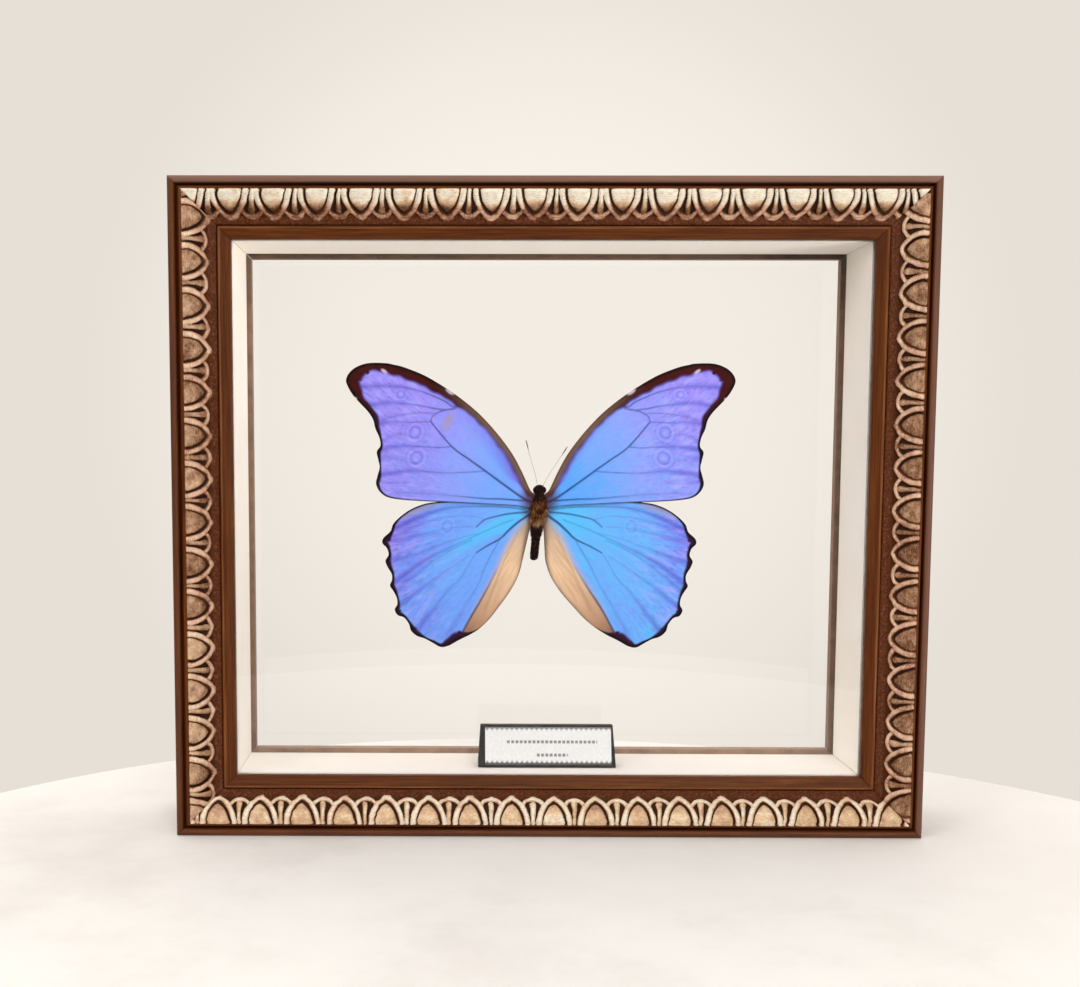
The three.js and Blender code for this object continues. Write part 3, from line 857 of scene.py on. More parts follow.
def ring_shade(points, rings):
    """Faint ripples round each eyespot: above 0 where they are dark, below 0 where they are light."""
    shade = np.zeros(len(points))
    for outward, up, radius, strength in rings:
        away = np.hypot(points[:, 0] - outward, points[:, 1] - up)
        away *= 1 + 0.07 * np.sin(2 * np.arctan2(points[:, 1] - up, points[:, 0] - outward) + outward)
        ring = hump(away - radius, 0.5) + 0.45 * hump(away - radius * 1.95, 0.45)
        ring += 0.25 * hump(away - radius * 2.7, 0.4)
        light = hump(away, 0.6) + 0.5 * hump(away - radius * 1.5, 0.4)
        shade += strength * (ring - 0.8 * light)
    return shade


def spot_shade(points, spots, softness=0.35):
    """1 inside the (outward, up, radius) spots, fading at their edges."""
    shade = np.zeros(len(points))
    for outward, up, radius in spots:
        away = np.hypot(points[:, 0] - outward, points[:, 1] - up)
        shade = np.maximum(shade, ramp_down(away, radius * (1 - softness), radius * (1 + softness)))
    return shade


def fleck_shade(points, flecks):
    """1 on the pale sloping flecks, fading at their edges."""
    shade = np.zeros(len(points))
    for outward, up, length, width in flecks:
        aside, above = points[:, 0] - outward, points[:, 1] - up
        lengthwise = aside * math.cos(FLECK_SLOPE) - above * math.sin(FLECK_SLOPE)
        crosswise = aside * math.sin(FLECK_SLOPE) + above * math.cos(FLECK_SLOPE)
        away = np.hypot(lengthwise / length, crosswise / width)
        shade = np.maximum(shade, ramp_down(away, 0.5, 1.2))
    return shade


def forewing_violet(points, side):
    outward, up = points.T
    base = 0.12 + 0.62 * ramp_up(outward, 8, 58) + 0.3 * ramp_up(up, 6, 44)
    front = 0.35 * ramp_down(np.abs(up - 1.72 * outward - 1), 2, 12) * ramp_down(outward, 10, 30)
    return base + (front + 0.12 if side < 0 else -0.06 + 0.4 * front)


def hindwing_violet(points, side):
    outward, up = points.T
    outer = ramp_up(outward, 36, 57) * ramp_up(up, -46, -8)
    glow_gap, glow_along, _ = nearest_on_line(points, np.array(HINDWING_GLOW))
    glow = ramp_down(glow_gap, 0.8, 3.6) * (1 - 0.7 * ramp_up(glow_along, 0.4, 1))
    near = ramp_down(np.hypot(outward, up), 8, 26)
    base = 0.26 + 0.6 * outer + 0.1 * ramp_up(np.hypot(outward, up), 30, 60) - 0.2 * near
    return base + (0.12 - 0.34 * glow if side < 0 else -0.08 - 0.06 * glow)


WINGS = {
    "forewing": {
        "outline": FOREWING_OUTLINE, "veins": FOREWING_VEINS, "rings": FOREWING_RINGS,
        "flecks": FOREWING_FLECKS, "blots": FOREWING_BLOTS, "back": FOREWING_BACK,
        "violet": forewing_violet,
    },
    "hindwing": {
        "outline": HINDWING_OUTLINE, "veins": HINDWING_VEINS, "rings": HINDWING_RINGS,
        "flecks": [], "blots": HINDWING_BLOTS, "back": HINDWING_BACK, "violet": hindwing_violet,
    },
}
ABDOMEN_TOP = 2
ABDOMEN_LEAN = 0.085


def abdomen_shift(up):
    """The body, and the hindwings' inner edges beside it, lean to the viewer's left towards the tail."""
    return np.minimum(0, (np.maximum(up, -20) - ABDOMEN_TOP) * ABDOMEN_LEAN)


def upper_marks(kind, flat, side, outline):
    """Everything that colours a wing's upper side, by name, one number for each point."""
    wing = WINGS[kind]
    loop = looped(outline)
    gap, along, _ = nearest_on_line(flat, loop[:, :2])
    reach = reach_along(loop[:, :2])
    width = np.interp(along, reach / reach[-1], loop[:, 2])
    wave = 0.17 * np.sin(along * 120) + 0.13 * np.sin(along * 230 + 1)
    outward, up = flat.T
    front_edge = ramp_up(up - 0.62 * outward, 1.2, 3.6) if kind == "forewing" else np.zeros(len(flat))
    near_root = ramp_down(outward, 6, 34)
    softness = 0.2 + 0.2 * width + 1.3 * front_edge * near_root
    past_border = gap - width - wave * ramp_up(width, 0.6, 2.5)
    core, haze = vein_shade(flat, wing["veins"])
    fade = ramp_up(past_border, -softness, softness)
    marks = {
        "border": np.maximum(1 - fade**2.2, spot_shade(flat, wing["blots"])),
        "rind": ramp_down(gap, 0.3, 1.5),
        "vein": core,
        "haze": np.maximum(haze, ramp_down(past_border, -0.2, 1.3) * ramp_up(width, 0.9, 3)),
        "ring": ring_shade(flat, wing["rings"]),
        "fleck": fleck_shade(flat, wing["flecks"]),
        "violet": np.clip(wing["violet"](flat, side), 0, 1),
        "outer": ramp_up(outward, 22, 54),
        "root": ramp_down(np.hypot(outward, (up - 2) * 0.8), 3.6, 8.6),
    }
    if kind == "forewing":
        marks["apex"] = ramp_up(up + 0.15 * outward, 36, 48)
        reach_in = 8.5 if side < 0 else 5.0
        marks["front"] = front_edge * near_root * ramp_down(gap, 1.6, reach_in)
        pale_rim = ramp_down(gap, 0.9, 2.4) * blend(0.4, 1.0, ramp_up(gap, 0.1, 0.9))
        marks["rim"] = front_edge * pale_rim * ramp_down(outward, 14, 40)
        aside, above = outward - WORN_PATCH[0], up - WORN_PATCH[1]
        worn = ramp_down(np.hypot((aside + 0.4 * above + 0.2) / 1.1, above / 2), 0.6, 2.4)
        marks["worn"] = worn if side < 0 else np.zeros(len(flat))
    else:
        away, down, which = nearest_on_line(flat, spline(HINDWING_DIVIDE, 4))
        inside = -away * which
        soft_edge = blend(1.5, 0.4, ramp_up(down, 0.1, 0.55))
        marks["inner"] = ramp_up(inside, -soft_edge, soft_edge)
        marks["divide"] = ramp_down(np.abs(inside), 0.12, 0.6) * ramp_up(down, 0.25, 0.7)
        marks["pale"] = ramp_down(np.abs(inside + 0.8), 0.2, 1.2) * ramp_down(down, 0.6, 0.9)
        fold, _, _ = nearest_on_line(flat, np.array(HINDWING_FOLD))
        marks["fold"] = ramp_down(fold, 0.1, 0.9)
        marks["down"] = down
        marks["hem"] = ramp_down(gap, 0.15, 1.3) * ramp_down(outward, 14, 24)
        marks["fur"] = ramp_down(gap, 0.6, 2.4) * ramp_down(outward, 3.6, 6.2) * ramp_up(-up, 2, 5)
        marks["grey"] = ramp_up(outward, 26, 42) * ramp_down(-up - 0.35 * (outward - 38), 0, 2.6)
    return marks


def under_marks(kind, flat, outline):
    """The brown underside's pale bands, which follow the outer edge unevenly, and its eyespots."""
    outward, up = flat.T
    reach = np.hypot(outward, up)
    turn = np.arctan2(up, outward)
    eyes = [(x, y, radius * 1.5) for x, y, radius, _ in WINGS[kind]["rings"]]
    eyes += HINDWING_UNDER_EYES if kind == "hindwing" else []
    away = np.min([np.hypot(outward - x, up - y) / radius for x, y, radius in eyes], 0)
    gap, _, _ = nearest_on_line(flat, looped(outline)[:, :2])
    line = hump(gap - 3.2 - 0.5 * np.sin(turn * 31), 0.7) * ramp_up(outward, 14, 26)
    middle = reach - 27 - 2.2 * np.sin(turn * 7 + 1) - 1.2 * np.sin(turn * 17)
    band = np.maximum(line, 0.9 * hump(middle, 2.6))
    core, _ = vein_shade(flat, WINGS[kind]["veins"])
    return {"eye": np.clip(away, 0, 2), "band": np.clip(band - 0.6 * core, 0, 1), "under_vein": core}


def sheet_shape(flat, side, kind):
    """Where the points of a flat wing pattern stand on the butterfly."""
    nearness = np.clip(1 - (flat[:, 0] - 4) / 18, 0, 1) if kind == "hindwing" else 0
    x = BODY_X + side * flat[:, 0] + abdomen_shift(flat[:, 1]) * nearness
    y = FRONT + WINGS[kind]["back"] - wing_form(flat)
    return np.column_stack([x, y, BODY_Z + flat[:, 1]])


def add_wing(kind, word, side, finish, seed):
    outline = spline(WINGS[kind]["outline"], OUTLINE_STEPS, closed=True)
    rim_count = len(outline)
    flat, triangles = fill_outline(outline[:, :2], WING_STEP, seed)
    low_flat, low_triangles = fill_outline(outline[:, :2], UNDERSIDE_STEP, seed + 1)
    marks = upper_marks(kind, flat, side, outline)
    low_marks = under_marks(kind, low_flat, outline)
    top = sheet_shape(flat, side, kind)
    top[:, 1] -= 0.05 * marks["vein"]
    under = sheet_shape(low_flat, side, kind) + (0, WING_SKIN, 0)
    count = len(flat)
    turned = -1 if side < 0 else 1  # the left wing is the pattern mirrored, so its faces are turned round
    faces = [corners[::turned] for corners in triangles]
    faces += [[i + count for i in corners[::-turned]] for corners in low_triangles]
    for i in range(rim_count):
        j = (i + 1) % rim_count
        faces.append([i, j, j + count, i + count][::-turned])
    wing = make_mesh(f"{kind}_{word}_scales", np.vstack([top, under]), faces, finish)
    low_count = len(low_flat)
    for name, values in marks.items():
        keep_number(wing, name, np.concatenate([values, np.zeros(low_count)]))
    for name, values in low_marks.items():
        keep_number(wing, name, np.concatenate([np.zeros(count), values]))
    keep_number(wing, "under", np.repeat([0, 1], [count, low_count]))
    both = np.vstack([flat, low_flat])
    angle = np.arctan2(both[:, 1], both[:, 0] + 4)
    shift = np.full(len(both), seed * 3.7)
    keep_vector(wing, "rays", np.column_stack([angle * 40, np.hypot(*both.T) * 0.12, shift]))
    keep_vector(wing, "spots", np.column_stack([both, shift]))
    stand_in(wing, kind, f"{kind}_{word}")


def underside(look, spots):
    """The brown underside, with pale bands and eyespots, that shows from behind."""
    mottled = look.noise(spots, 0.5, 5, 0.6)
    ground = look.ramp(mottled, (0.3, rgb(72, 48, 34)), (0.6, rgb(112, 82, 58)))
    banded = look.marked(ground, "band", look.ramp(mottled, (0.3, 0.3), (0.6, 0.8)), rgb(186, 166, 134))
    banded = look.marked(banded, "under_vein", 0.6, rgb(46, 30, 22))
    away = look.times(look.number("eye"), 0.5)
    eye = look.ramp(away, (0.07, rgb(226, 224, 214)), (0.1, rgb(18, 12, 12)), (0.3, rgb(26, 16, 14)),
                    (0.34, rgb(206, 168, 84)), (0.42, rgb(196, 156, 76)), (0.47, rgb(58, 38, 28)))
    return look.mix(look.ramp(away, (0.5, 1.0), (0.56, 0.0)), banded, eye)


# The scales' colours where there is least violet, through to most.
SCALE_BLUES = {
    "forewing": [(80, 162, 250), (114, 163, 250), (134, 157, 248), (140, 144, 243), (152, 139, 241)],
    "hindwing": [(89, 188, 255), (108, 170, 251), (112, 156, 248), (120, 136, 238), (152, 136, 236)],
}


def wing_finish(kind):
    """Scales from sky blue through periwinkle to violet, in fine rays, with the marks laid over them."""
    look = Finish(f"{kind}_scales", 0.55, 0.08)
    rays, spots = look.vector("rays"), look.vector("spots")
    streak = look.noise(rays, 1.0, 4, 0.6)
    fine = look.noise(look.stretched(rays, (2.4, 3.5, 1)), 1.0, 3, 0.6)
    drift = look.noise(spots, 0.09, 3, 0.5)
    outer = look.number("outer")
    half_outer = look.times(outer, 0.5)
    streaked = look.centred(streak, look.math("ADD", 0.6, half_outer))
    drifted = look.math("ADD", streaked, look.centred(drift, 0.3))
    tint = look.math("ADD", look.number("violet"), drifted, clamp=True)
    colours = [rgb(*blue) for blue in SCALE_BLUES[kind]]
    colour = look.ramp(tint, *zip((0.0, 0.25, 0.5, 0.75, 1.0), colours))
    depth = look.ramp(fine, (0.3, 0.68), (0.5, 0.97), (0.7, 1.08))
    shade = look.mix(look.math("ADD", 0.4, half_outer), rgb(255, 255, 255), depth)
    colour = look.mix(1.0, colour, shade, "MULTIPLY")
    sheen = look.ramp(look.noise(look.stretched(rays, (0.9, 1.4, 1)), 1.0, 2, 0.5), (0.5, 0.0), (0.66, 0.6))
    colour = look.mix(look.times(sheen, outer), colour, rgb(170, 168, 250))
    colour = look.marked(colour, "haze", 0.75, rgb(78, 74, 200))
    colour = look.marked(colour, "ring", 0.6, rgb(84, 88, 206))
    colour = look.marked(colour, "ring", -0.5, rgb(178, 178, 252))
    dark = look.mix(look.number("rind"), rgb(46, 12, 40), rgb(10, 0, 10))
    if kind == "forewing":
        colour = look.marked(colour, "front", 0.75, rgb(93, 82, 211))
        colour = look.marked(colour, "worn", 0.6, rgb(166, 143, 158))
        tip = look.mix(look.number("rind"), look.mix(streak, rgb(74, 13, 5), rgb(42, 4, 6)), rgb(12, 0, 0))
        dark = look.mix(look.number("outer"), rgb(70, 40, 40), dark)
        dark = look.mix(look.number("apex"), dark, tip)
        dark = look.mix(look.number("rim"), dark, rgb(112, 86, 60))
    else:
        colour = look.marked(colour, "grey", 0.75, rgb(150, 141, 170))
        colour = look.marked(colour, "pale", 0.4, rgb(183, 161, 175))
        tan = look.ramp(look.number("down"), (0.0, rgb(156, 146, 134)), (0.16, rgb(212, 182, 152)),
                        (0.36, rgb(229, 195, 160)), (0.56, rgb(214, 176, 144)), (0.76, rgb(186, 148, 120)),
                        (0.9, rgb(138, 100, 76)), (1.0, rgb(74, 36, 26)))
        tan = look.mix(look.ramp(streak, (0.38, 0.35), (0.58, 0.0)), tan, rgb(180, 140, 110))
        tan = look.marked(tan, "fold", 0.35, rgb(160, 132, 100))
        tan = look.marked(tan, "hem", 0.5, rgb(110, 88, 68))
        colour = look.mix(look.number("inner"), colour, tan)
        colour = look.marked(colour, "divide", 0.8, rgb(66, 40, 48))
        colour = look.marked(colour, "fur", 0.5, rgb(58, 34, 22))
    colour = look.marked(colour, "vein", 0.95, look.mix(0.12, rgb(12, 20, 92), colour))
    colour = look.marked(colour, "root", 0.85, rgb(66, 32, 34))
    colour = look.mix(look.number("border"), colour, dark)
    colour = look.marked(colour, "fleck", 0.9, rgb(204, 183, 199))
    colour = look.mix(look.number("under"), colour, underside(look, spots))
    look.set(Base_Color=colour)
    look.bump(look.math("ADD", fine, look.noise(spots, 3.0, 2)), 0.05, 0.35)
    return look.material


for number, kind in enumerate(WINGS):
    wing_material = wing_finish(kind)
    add_wing(kind, "left", -1, wing_material, 10 + number)
    add_wing(kind, "right", 1, wing_material, 20 + number)

# ---- Body ----

# (radius, up): the body's half-width along its length.
BODY_OUTLINE = [
    (0.05, -20.2), (0.8, -20), (1.3, -19.3), (1.5, -18), (1.5, -15), (1.6, -12.5), (2.1, -10.4),
    (2.35, -8.4), (2.6, -6.6), (2.8, -4.6), (2.95, -2.4), (3, -0.4), (2.85, 1.2), (2.35, 2.6), (1.8, 3.5),
    (1.6, 4.1), (1.75, 4.8), (1.8, 5.5), (1.6, 6.1), (1.2, 6.6), (0.6, 6.9), (0.05, 7),
]
BODY_PLACE = np.array([BODY_X, FRONT + BODY_BACK, BODY_Z])
EYE_PLACE = np.array([1.55, -0.5, 5.1])
EYE_RADII = (0.85, 1.0, 1.15)
BODY_FLATNESS = 0.87
BODY_SIDES = 40


def body_radius(up):
    radii, heights = np.array(BODY_OUTLINE).T
    return np.interp(up, heights, radii)


def body_finish():
    look = Finish("dark_hairy_skin", 0.65, 0.06)
    place = look.place()
    mottle = look.noise(place, 900, 4)
    skin = look.ramp(mottle, (0.3, rgb(6, 1, 1)), (0.6, rgb(20, 5, 3)), (0.85, rgb(52, 24, 14)))
    look.set(Base_Color=skin)
    look.bump(mottle, 0.15, 0.6)
    return look.material


def hair_finish():
    look = Finish("golden_hair", 0.5, 0.06)
    tan = look.ramp(look.number("tone"), (0.0, rgb(18, 4, 3)), (0.2, rgb(74, 28, 12)),
                    (0.42, rgb(130, 68, 30)), (0.65, rgb(182, 126, 70)), (0.85, rgb(214, 182, 130)),
                    (1.0, rgb(234, 214, 176)))
    look.set(Base_Color=tan)
    return look.material


def body_rings():
    """The smooth body with the abdomen's rings pressed in, as points and faces of a closed tube."""
    radius, up = spline(BODY_OUTLINE, 6).T
    on_abdomen = ramp_down(up, -9.5, -8)
    ring = 0.12 * np.cos((up + 8) * 2 * math.pi / 1.55)
    radius = radius * (1 + on_abdomen * np.minimum(ring, 0.04))
    angle = np.linspace(0, 2 * math.pi, BODY_SIDES, endpoint=False)
    x = radius[:, None] * np.cos(angle) + abdomen_shift(up)[:, None] + BODY_X
    y = radius[:, None] * np.sin(angle) * BODY_FLATNESS + BODY_BACK + FRONT
    z = np.broadcast_to(up[:, None], x.shape) + BODY_Z
    return as_points(x, y, z), round_faces(len(up), BODY_SIDES)


def ball(centre, radii, rings=12, sides=18):
    """A closed egg shape, as points and faces."""
    polar = np.linspace(0.02, math.pi - 0.02, rings)
    around = np.linspace(0, 2 * math.pi, sides, endpoint=False)
    width = np.sin(polar)[:, None]
    height = np.broadcast_to(-np.cos(polar)[:, None], (rings, sides))
    unit = as_points(width * np.cos(around), width * np.sin(around), height)
    return unit * radii + centre, round_faces(rings, sides)


def join_shapes(shapes):
    points, faces = [], []
    for shape_points, shape_faces in shapes:
        start = sum(map(len, points))
        points.append(shape_points)
        faces += [[i + start for i in face] for face in shape_faces]
    return np.vstack(points), faces


def add_body():
    eyes = [ball(EYE_PLACE * (side, 1, 1) + BODY_PLACE, EYE_RADII) for side in (-1, 1)]
    points, faces = join_shapes([body_rings(), *eyes])
    body = make_mesh("body_skin", points, faces, body_finish())
    stand_in(body, "insect_body", "butterfly_body")


def spikes(roots, directions, lengths, widths, bend, dice):
    """One closed three-sided tapering hair per root, curving by bend towards +Z or -Z."""
    count = len(roots)
    directions = directions / np.linalg.norm(directions, axis=1)[:, None]
    side = np.cross(directions, dice.normal(size=(count, 3)))
    side /= np.linalg.norm(side, axis=1)[:, None]
    other = np.cross(directions, side)
    rings = []
    for share, thin in ((0, 1.0), (0.5, 0.7)):
        centre = roots + directions * (lengths * share)[:, None]
        centre[:, 2] += bend * lengths * share**2
        for corner in range(3):
            turn = 2 * math.pi * corner / 3
            offset = side * math.cos(turn) + other * math.sin(turn)
            rings.append(centre + offset * (widths * thin)[:, None])
    tip = roots + directions * lengths[:, None]
    tip[:, 2] += bend * lengths
    rings.append(tip)
    points = np.stack(rings, 1).reshape(-1, 3)
    pattern = [[2, 1, 0]]
    pattern += [[i, (i + 1) % 3, (i + 1) % 3 + 3, i + 3] for i in range(3)]
    pattern += [[i + 3, (i + 1) % 3 + 3, 6] for i in range(3)]
    faces = [[corner + 7 * number for corner in face] for number in range(count) for face in pattern]
    return points, faces


def coat(count, low, high, length, lean, tone, seed, front_only=False, width=0.05):
    """Hairs on the body between two heights: points, faces and a tone, dark to pale, for each point."""
    dice = np.random.default_rng(seed)
    up = dice.uniform(low, high, count)
    angle = dice.uniform(-math.pi, 0, count) if front_only else dice.uniform(0, 2 * math.pi, count)
    radius = body_radius(up) * 0.96
    out = np.column_stack([np.cos(angle), np.sin(angle) * BODY_FLATNESS, np.zeros(count)])
    roots = out * radius[:, None] + BODY_PLACE
    roots[:, 0] += abdomen_shift(up)
    roots[:, 2] += up
    directions = out * dice.uniform(0.2, 0.65, count)[:, None] + dice.normal(0, 0.2, (count, 3))
    directions[:, 2] += lean
    lengths = length * dice.uniform(0.6, 1.25, count)
    points, faces = spikes(roots, directions, lengths, np.full(count, width), -0.15, dice)
    tones = tone + dice.choice([-0.12, 0.08, 0.3], count, p=[0.55, 0.3, 0.15]) + dice.normal(0, 0.06, count)
    patch = np.sin(up * 1.9 + 2.2 * np.sin(angle * 3)) + np.sin(up * 0.9 - angle * 4 + 1)
    tones = np.clip(tones + 0.11 * patch, 0, 1)
    return points, faces, np.repeat(tones, 7)


def add_hair():
    # Each coat's first seven values are its count, lowest and highest roots, length, lean, tone and seed.
    coats = [
        coat(2600, -6.6, 3.4, 1.4, -0.9, 0.2, 31),
        coat(800, -5, 1.6, 1.7, -1.1, 0.4, 32, front_only=True),
        coat(260, -6.6, -4.4, 1.7, -1.9, 0.64, 33, front_only=True, width=0.08),
        coat(700, 3.2, 6.8, 0.5, 0.1, 0.06, 34),
        coat(1100, -19.6, -7, 0.5, -1.4, 0.02, 35),
    ]
    points, faces = join_shapes([shape for *shape, _ in coats])
    hair = make_mesh("body_hair", points, faces, hair_finish(), smooth=False)
    keep_number(hair, "tone", np.concatenate([tones for _, _, tones in coats]))
    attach(hair, "root")


add_body()
add_hair()

# ---- Antennae ----

# Each route is (right, back, up) from the wing roots' middle, from its own root to its tip.
ANTENNA_ROUTES = {
    "left": [(-0.8, -0.6, 6.6), (-1.6, -1.8, 10.4), (-3, -2.2, 15), (-4.1, -2.4, 19), (-5.1, -2.4, 23)],
    "right": [(1.1, -0.6, 6.4), (2.8, -1.8, 9.8), (5.2, -2.2, 13.8), (7.6, -2.4, 17.4), (9.6, -2.4, 20.6)],
}
ANTENNA_RADII = [0.085] * 8 + [0.1, 0.17, 0.2, 0.08]  # evenly spaced along it: a thin shaft and a club


def tube(points, radii, sides=8):
    """A closed tube of changing radius along a smooth line."""
    line = spline(points, 8)
    radius = np.interp(np.linspace(0, 1, len(line)), np.linspace(0, 1, len(radii)), radii)
    tangent = np.gradient(line, axis=0)
    tangent /= np.linalg.norm(tangent, axis=1)[:, None]
    side = np.cross(tangent, (0, 1, 0))
    side /= np.linalg.norm(side, axis=1)[:, None]
    other = np.cross(tangent, side)
    rings = []
    for turn in np.linspace(0, 2 * math.pi, sides, endpoint=False):
        rings.append(line + (side * math.cos(turn) + other * math.sin(turn)) * radius[:, None])
    return np.stack(rings, 1).reshape(-1, 3), round_faces(len(line), sides)


def antenna_finish():
    look = Finish("antenna_brown", 0.5)
    bands = look.noise(look.stretched(look.place(), (1, 1, 900)), 1.0, 1)
    shaft = look.ramp(bands, (0.4, rgb(150, 140, 130)), (0.6, rgb(190, 182, 172)))
    look.set(Base_Color=look.mix(look.number("club"), shaft, rgb(74, 62, 52)))
    return look.material


def add_antennae():
    finish = antenna_finish()
    for word, route in ANTENNA_ROUTES.items():
        points, faces = tube(np.array(route) + BODY_PLACE, ANTENNA_RADII)
        antenna = make_mesh(f"feeler_{word}", points, faces, finish)
        height = points[:, 2] - BODY_Z
        keep_number(antenna, "club", ramp_up(height, height.max() - 3.6, height.max() - 2))
        stand_in(antenna, "antenna", f"antenna_{word}")


add_antennae()

# ---- Glue dab ----


def add_glue():
    low, high = (np.array(corner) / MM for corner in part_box("glue_dab"))
    middle = (low + high) / 2
    rings, sides = 9, 28
    angle = np.linspace(0, 2 * math.pi, sides, endpoint=False)
    uneven = 1 + 0.08 * np.sin(angle * 3 + 0.6) + 0.05 * np.sin(angle * 5)
    share = np.linspace(0, 1, rings)
    radius = (high[0] - low[0]) / 2 * (0.62 + 0.38 * np.sin(share * math.pi / 2))
    radius[0] *= 0.9
    x = middle[0] + radius[:, None] * np.cos(angle) * uneven
    z = middle[2] + radius[:, None] * np.sin(angle) * uneven
    y = np.broadcast_to(blend(low[1], high[1], share)[:, None], x.shape)
    finish = glass_finish("clear_glue", rgb(250, 246, 232), 0.12)
    dab = make_mesh("glue_bead", as_points(x, y, z), round_faces(rings, sides), finish)
    stand_in(dab, "glue", "glue_dab")


add_glue()

# ---- Label ----


def holder_finish():
    look = Finish("black_plastic", 0.35, 0.15)
    scuffs = look.noise(look.place(), 700, 4)
    look.set(
        Base_Color=look.ramp(scuffs, (0.35, rgb(6, 7, 6)), (0.7, rgb(32, 34, 32))),
        Roughness=look.ramp(scuffs, (0.3, 0.3), (0.7, 0.5)),
    )
    look.bump(scuffs, 0.05, 0.4)
    return look.material


def card_finish():
    """White card with a toothed rule along its top and bottom, and two blank ruled lines."""
    look = Finish("white_card", 0.7)
    fibre = look.noise(look.place(), 1500, 3)
    paper = look.ramp(fibre, (0.3, rgb(224, 226, 228)), (0.7, rgb(238, 239, 240)))
    look.set(Base_Color=look.mix(look.number("ink"), paper, rgb(46, 50, 52)))
    return look.material


LABEL_LEAN = 4.0
LABEL_TAPER = 0.85  # how much narrower each side of the holder is at its top
LABEL_CROWN = 2.5
CARD_LEFT, CARD_RIGHT = -21.7, 22.7  # the card's edges, from the holder's middle
CARD_BOTTOM, CARD_TOP = 0.06, 0.95  # shares of the holder's height
CARD_SUNK = 0.35  # how deep its seat is
CARD_BEHIND = 0.12  # how far its face lies behind the holder's
CARD_THICKNESS = 0.22
HOLDER_SOFTNESS = 0.18
CARD_COLUMNS, CARD_ROWS = 260, 72
RULED_LINES = ((0.6, -14.5, 18), (0.29, -4, 7.5))  # (share of the height, left end, right end)


def card_ink(x, share):
    """A toothed rule along the card's top and bottom, and two thin broken lines left blank."""
    teeth = 0.5 + 0.5 * np.cos(x * 2 * math.pi / 1.75)
    top_rule = ramp_up(share, CARD_TOP - 0.045 - 0.07 * teeth, CARD_TOP - 0.02)
    foot_rule = ramp_down(share, CARD_BOTTOM + 0.03, CARD_BOTTOM + 0.06 + 0.075 * teeth)
    ink = np.maximum(0.8 * top_rule, 0.95 * foot_rule)
    for height, left, right in RULED_LINES:
        line = ramp_down(np.abs(share - height), 0.015, 0.05) * ramp_up(x, left, left + 0.4)
        dash = 0.5 + 0.5 * np.cos(x * 2 * math.pi / 1.5)
        ink = np.maximum(ink, 0.8 * line * ramp_down(x, right - 0.4, right) * ramp_up(dash, 0.1, 0.4))
    return ink


def add_label():
    low, high = (np.array(corner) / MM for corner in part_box("label_holder"))
    middle = (low[0] + high[0]) / 2
    tall = high[2] - low[2]

    def on_face(x, share, into):
        """A point on the leaning front face, sunk into it."""
        return [middle + x, low[1] + LABEL_LEAN * share + into, low[2] + tall * share]

    half_widths = ((high[0] - low[0]) / 2, (high[0] - low[0]) / 2 - LABEL_TAPER)
    thicknesses = (high[1] - low[1], LABEL_CROWN)
    corners = [(side * half_widths[level], level) for side, level in ((-1, 0), (1, 0), (1, 1), (-1, 1))]
    card_corners = [
        (CARD_LEFT, CARD_BOTTOM), (CARD_RIGHT, CARD_BOTTOM), (CARD_RIGHT, CARD_TOP), (CARD_LEFT, CARD_TOP),
    ]
    points = [on_face(x, share, 0) for x, share in corners + card_corners]
    points += [on_face(x, share, CARD_SUNK) for x, share in card_corners]
    points += [on_face(x, level, thicknesses[level]) for x, level in corners]
    faces = []
    for i in range(4):
        j = (i + 1) % 4
        faces += [[i, j, 4 + j, 4 + i], [4 + i, 4 + j, 8 + j, 8 + i], [j, i, 12 + i, 12 + j]]
    faces += [[8, 9, 10, 11], [15, 14, 13, 12]]
    holder = make_mesh("label_block", points, faces, holder_finish(), smooth=False)
    bevel = holder.modifiers.new("softened edges", "BEVEL")
    bevel.width = HOLDER_SOFTNESS * MM
    bevel.segments = 2
    bevel.limit_method = "ANGLE"
    stand_in(holder, "label_holder", "label_holder")

    across = np.linspace(CARD_LEFT, CARD_RIGHT, CARD_COLUMNS)
    upward = np.linspace(CARD_BOTTOM, CARD_TOP, CARD_ROWS)
    grid_x, grid_up = (grid.ravel() for grid in np.meshgrid(across, upward))
    front = np.column_stack(on_face(grid_x, grid_up, CARD_BEHIND))
    count = len(front)
    ring = (list(range(CARD_COLUMNS)) + list(range(2 * CARD_COLUMNS - 1, count, CARD_COLUMNS))
            + list(range(count - 2, count - CARD_COLUMNS - 1, -1))
            + list(range(count - 2 * CARD_COLUMNS, 0, -CARD_COLUMNS)))
    back_ring = [count + i for i in range(len(ring))]
    faces = grid_faces(CARD_ROWS, CARD_COLUMNS)
    faces += [[ring[i], back_ring[i], back_ring[(i + 1) % len(ring)], ring[(i + 1) % len(ring)]]
              for i in range(len(ring))]
    faces.append(back_ring)
    points = np.vstack([front, front[ring] + (0, CARD_THICKNESS, 0)])
    card = make_mesh("label_paper", points, faces, card_finish(), smooth=False)
    keep_number(card, "ink", card_ink(points[:, 0] - middle, (points[:, 2] - low[2]) / tall))
    stand_in(card, "label_card", "label_card")


add_label()

# ---- Floor, backdrop and light ----


def stage_finish():
    look = Finish("pale_plaster", 0.9)
    place = look.place()
    cloud = look.noise(place, 9, 6, 0.65)
    plaster = look.ramp(cloud, (0.3, rgb(234, 232, 230)), (0.5, rgb(247, 246, 245)),
                        (0.7, rgb(252, 251, 250)))
    look.set(Base_Color=plaster)
    look.bump(look.noise(place, 45, 6), 1.0, 0.35)
    return look.material


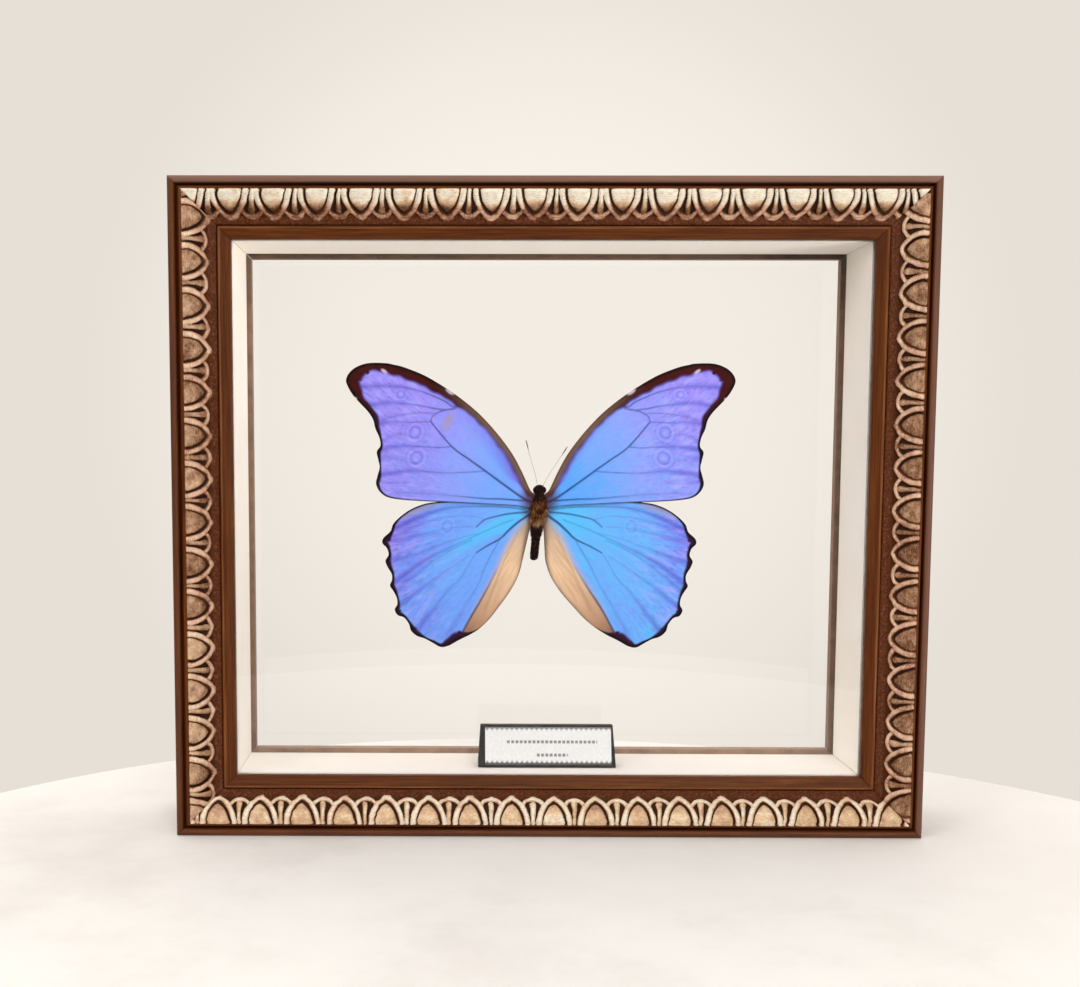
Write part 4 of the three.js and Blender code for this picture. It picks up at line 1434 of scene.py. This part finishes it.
def add_stage():
    """A round plaster table top, with a softened edge."""
    middle, radius, thick, round_edge, sides = (-3.7, -118.8), 256, 40, 3, 180
    profile = [(0.01, 0), (radius - round_edge, 0), (radius - 0.9, -0.9), (radius, -round_edge)]
    profile += [(radius, -thick), (0.01, -thick)]
    angle = np.linspace(0, 2 * math.pi, sides, endpoint=False)
    points = []
    for reach, z in profile:
        points += zip(middle[0] + reach * np.cos(angle), middle[1] + reach * np.sin(angle), [z] * sides)
    faces = grid_faces(len(profile), sides, wrap_columns=True)
    stage = make_mesh("stage", points, faces, stage_finish(), smooth=False)


def add_light(name, place, target, size, power, colour):
    lamp = bpy.data.lights.new(name, "AREA")
    lamp.shape = "DISK"
    lamp.size = size * MM
    lamp.energy = power
    lamp.color = colour
    holder = bpy.data.objects.new(name, lamp)
    bpy.context.collection.objects.link(holder)
    holder.location = Vector(place) * MM
    holder.visible_camera = False
    holder.visible_transmission = False
    aim = Vector(target) - Vector(place)
    holder.rotation_euler = aim.to_track_quat("-Z", "Y").to_euler()


GLOW_TOWARDS = (0.066, 0.997, 0.033)  # the wall is brightest behind the frame


def add_room():
    """A pale wall behind, brighter overhead, and dimmer in front, where it would show in the glass."""
    world = bpy.data.worlds.new("soft_room")
    bpy.context.scene.world = world
    world.use_nodes = True
    nodes, links = world.node_tree.nodes, world.node_tree.links
    background = nodes["Background"]
    direction = nodes.new("ShaderNodeTexCoord").outputs["Generated"]
    parts = nodes.new("ShaderNodeSeparateXYZ")
    links.new(direction, parts.inputs[0])

    def fade(source, low, high, first, second):
        node = nodes.new("ShaderNodeMapRange")
        node.interpolation_type = "SMOOTHSTEP"
        links.new(source, node.inputs["Value"])
        for name, value in zip(("From Min", "From Max", "To Min", "To Max"), (low, high, first, second)):
            node.inputs[name].default_value = value
        return node.outputs["Result"]

    towards = nodes.new("ShaderNodeVectorMath")
    towards.operation = "DOT_PRODUCT"
    links.new(direction, towards.inputs[0])
    towards.inputs[1].default_value = GLOW_TOWARDS
    glow = fade(towards.outputs["Value"], 0.94, 0.998, 0.0, 0.19)
    depthwise = fade(parts.outputs["Y"], -0.1, 0.3, 0.1, 0.95)
    overhead = fade(parts.outputs["Z"], 0.4, 0.95, 0.0, 1.15)
    total = depthwise
    for extra in (overhead, glow):
        sum_up = nodes.new("ShaderNodeMath")
        sum_up.operation = "ADD"
        links.new(total, sum_up.inputs[0])
        links.new(extra, sum_up.inputs[1])
        total = sum_up.outputs[0]
    links.new(total, background.inputs["Strength"])
    background.inputs["Color"].default_value = rgb(236, 229, 220)


add_stage()
add_room()
MIDDLE = (0, 0, HEIGHT / 2)
add_light("key", (330, -1400, 860), MIDDLE, 600, 7.3, (1, 0.97, 0.93))
add_light("left_fill", (-900, -900, 620), MIDDLE, 700, 4.9, (1, 0.98, 0.95))
add_light("right_fill", (1000, -900, -260), MIDDLE, 700, 7.2, (1, 0.97, 0.93))

bpy.context.scene.view_settings.view_transform = "Standard"
bpy.context.scene.view_settings.look = "None"
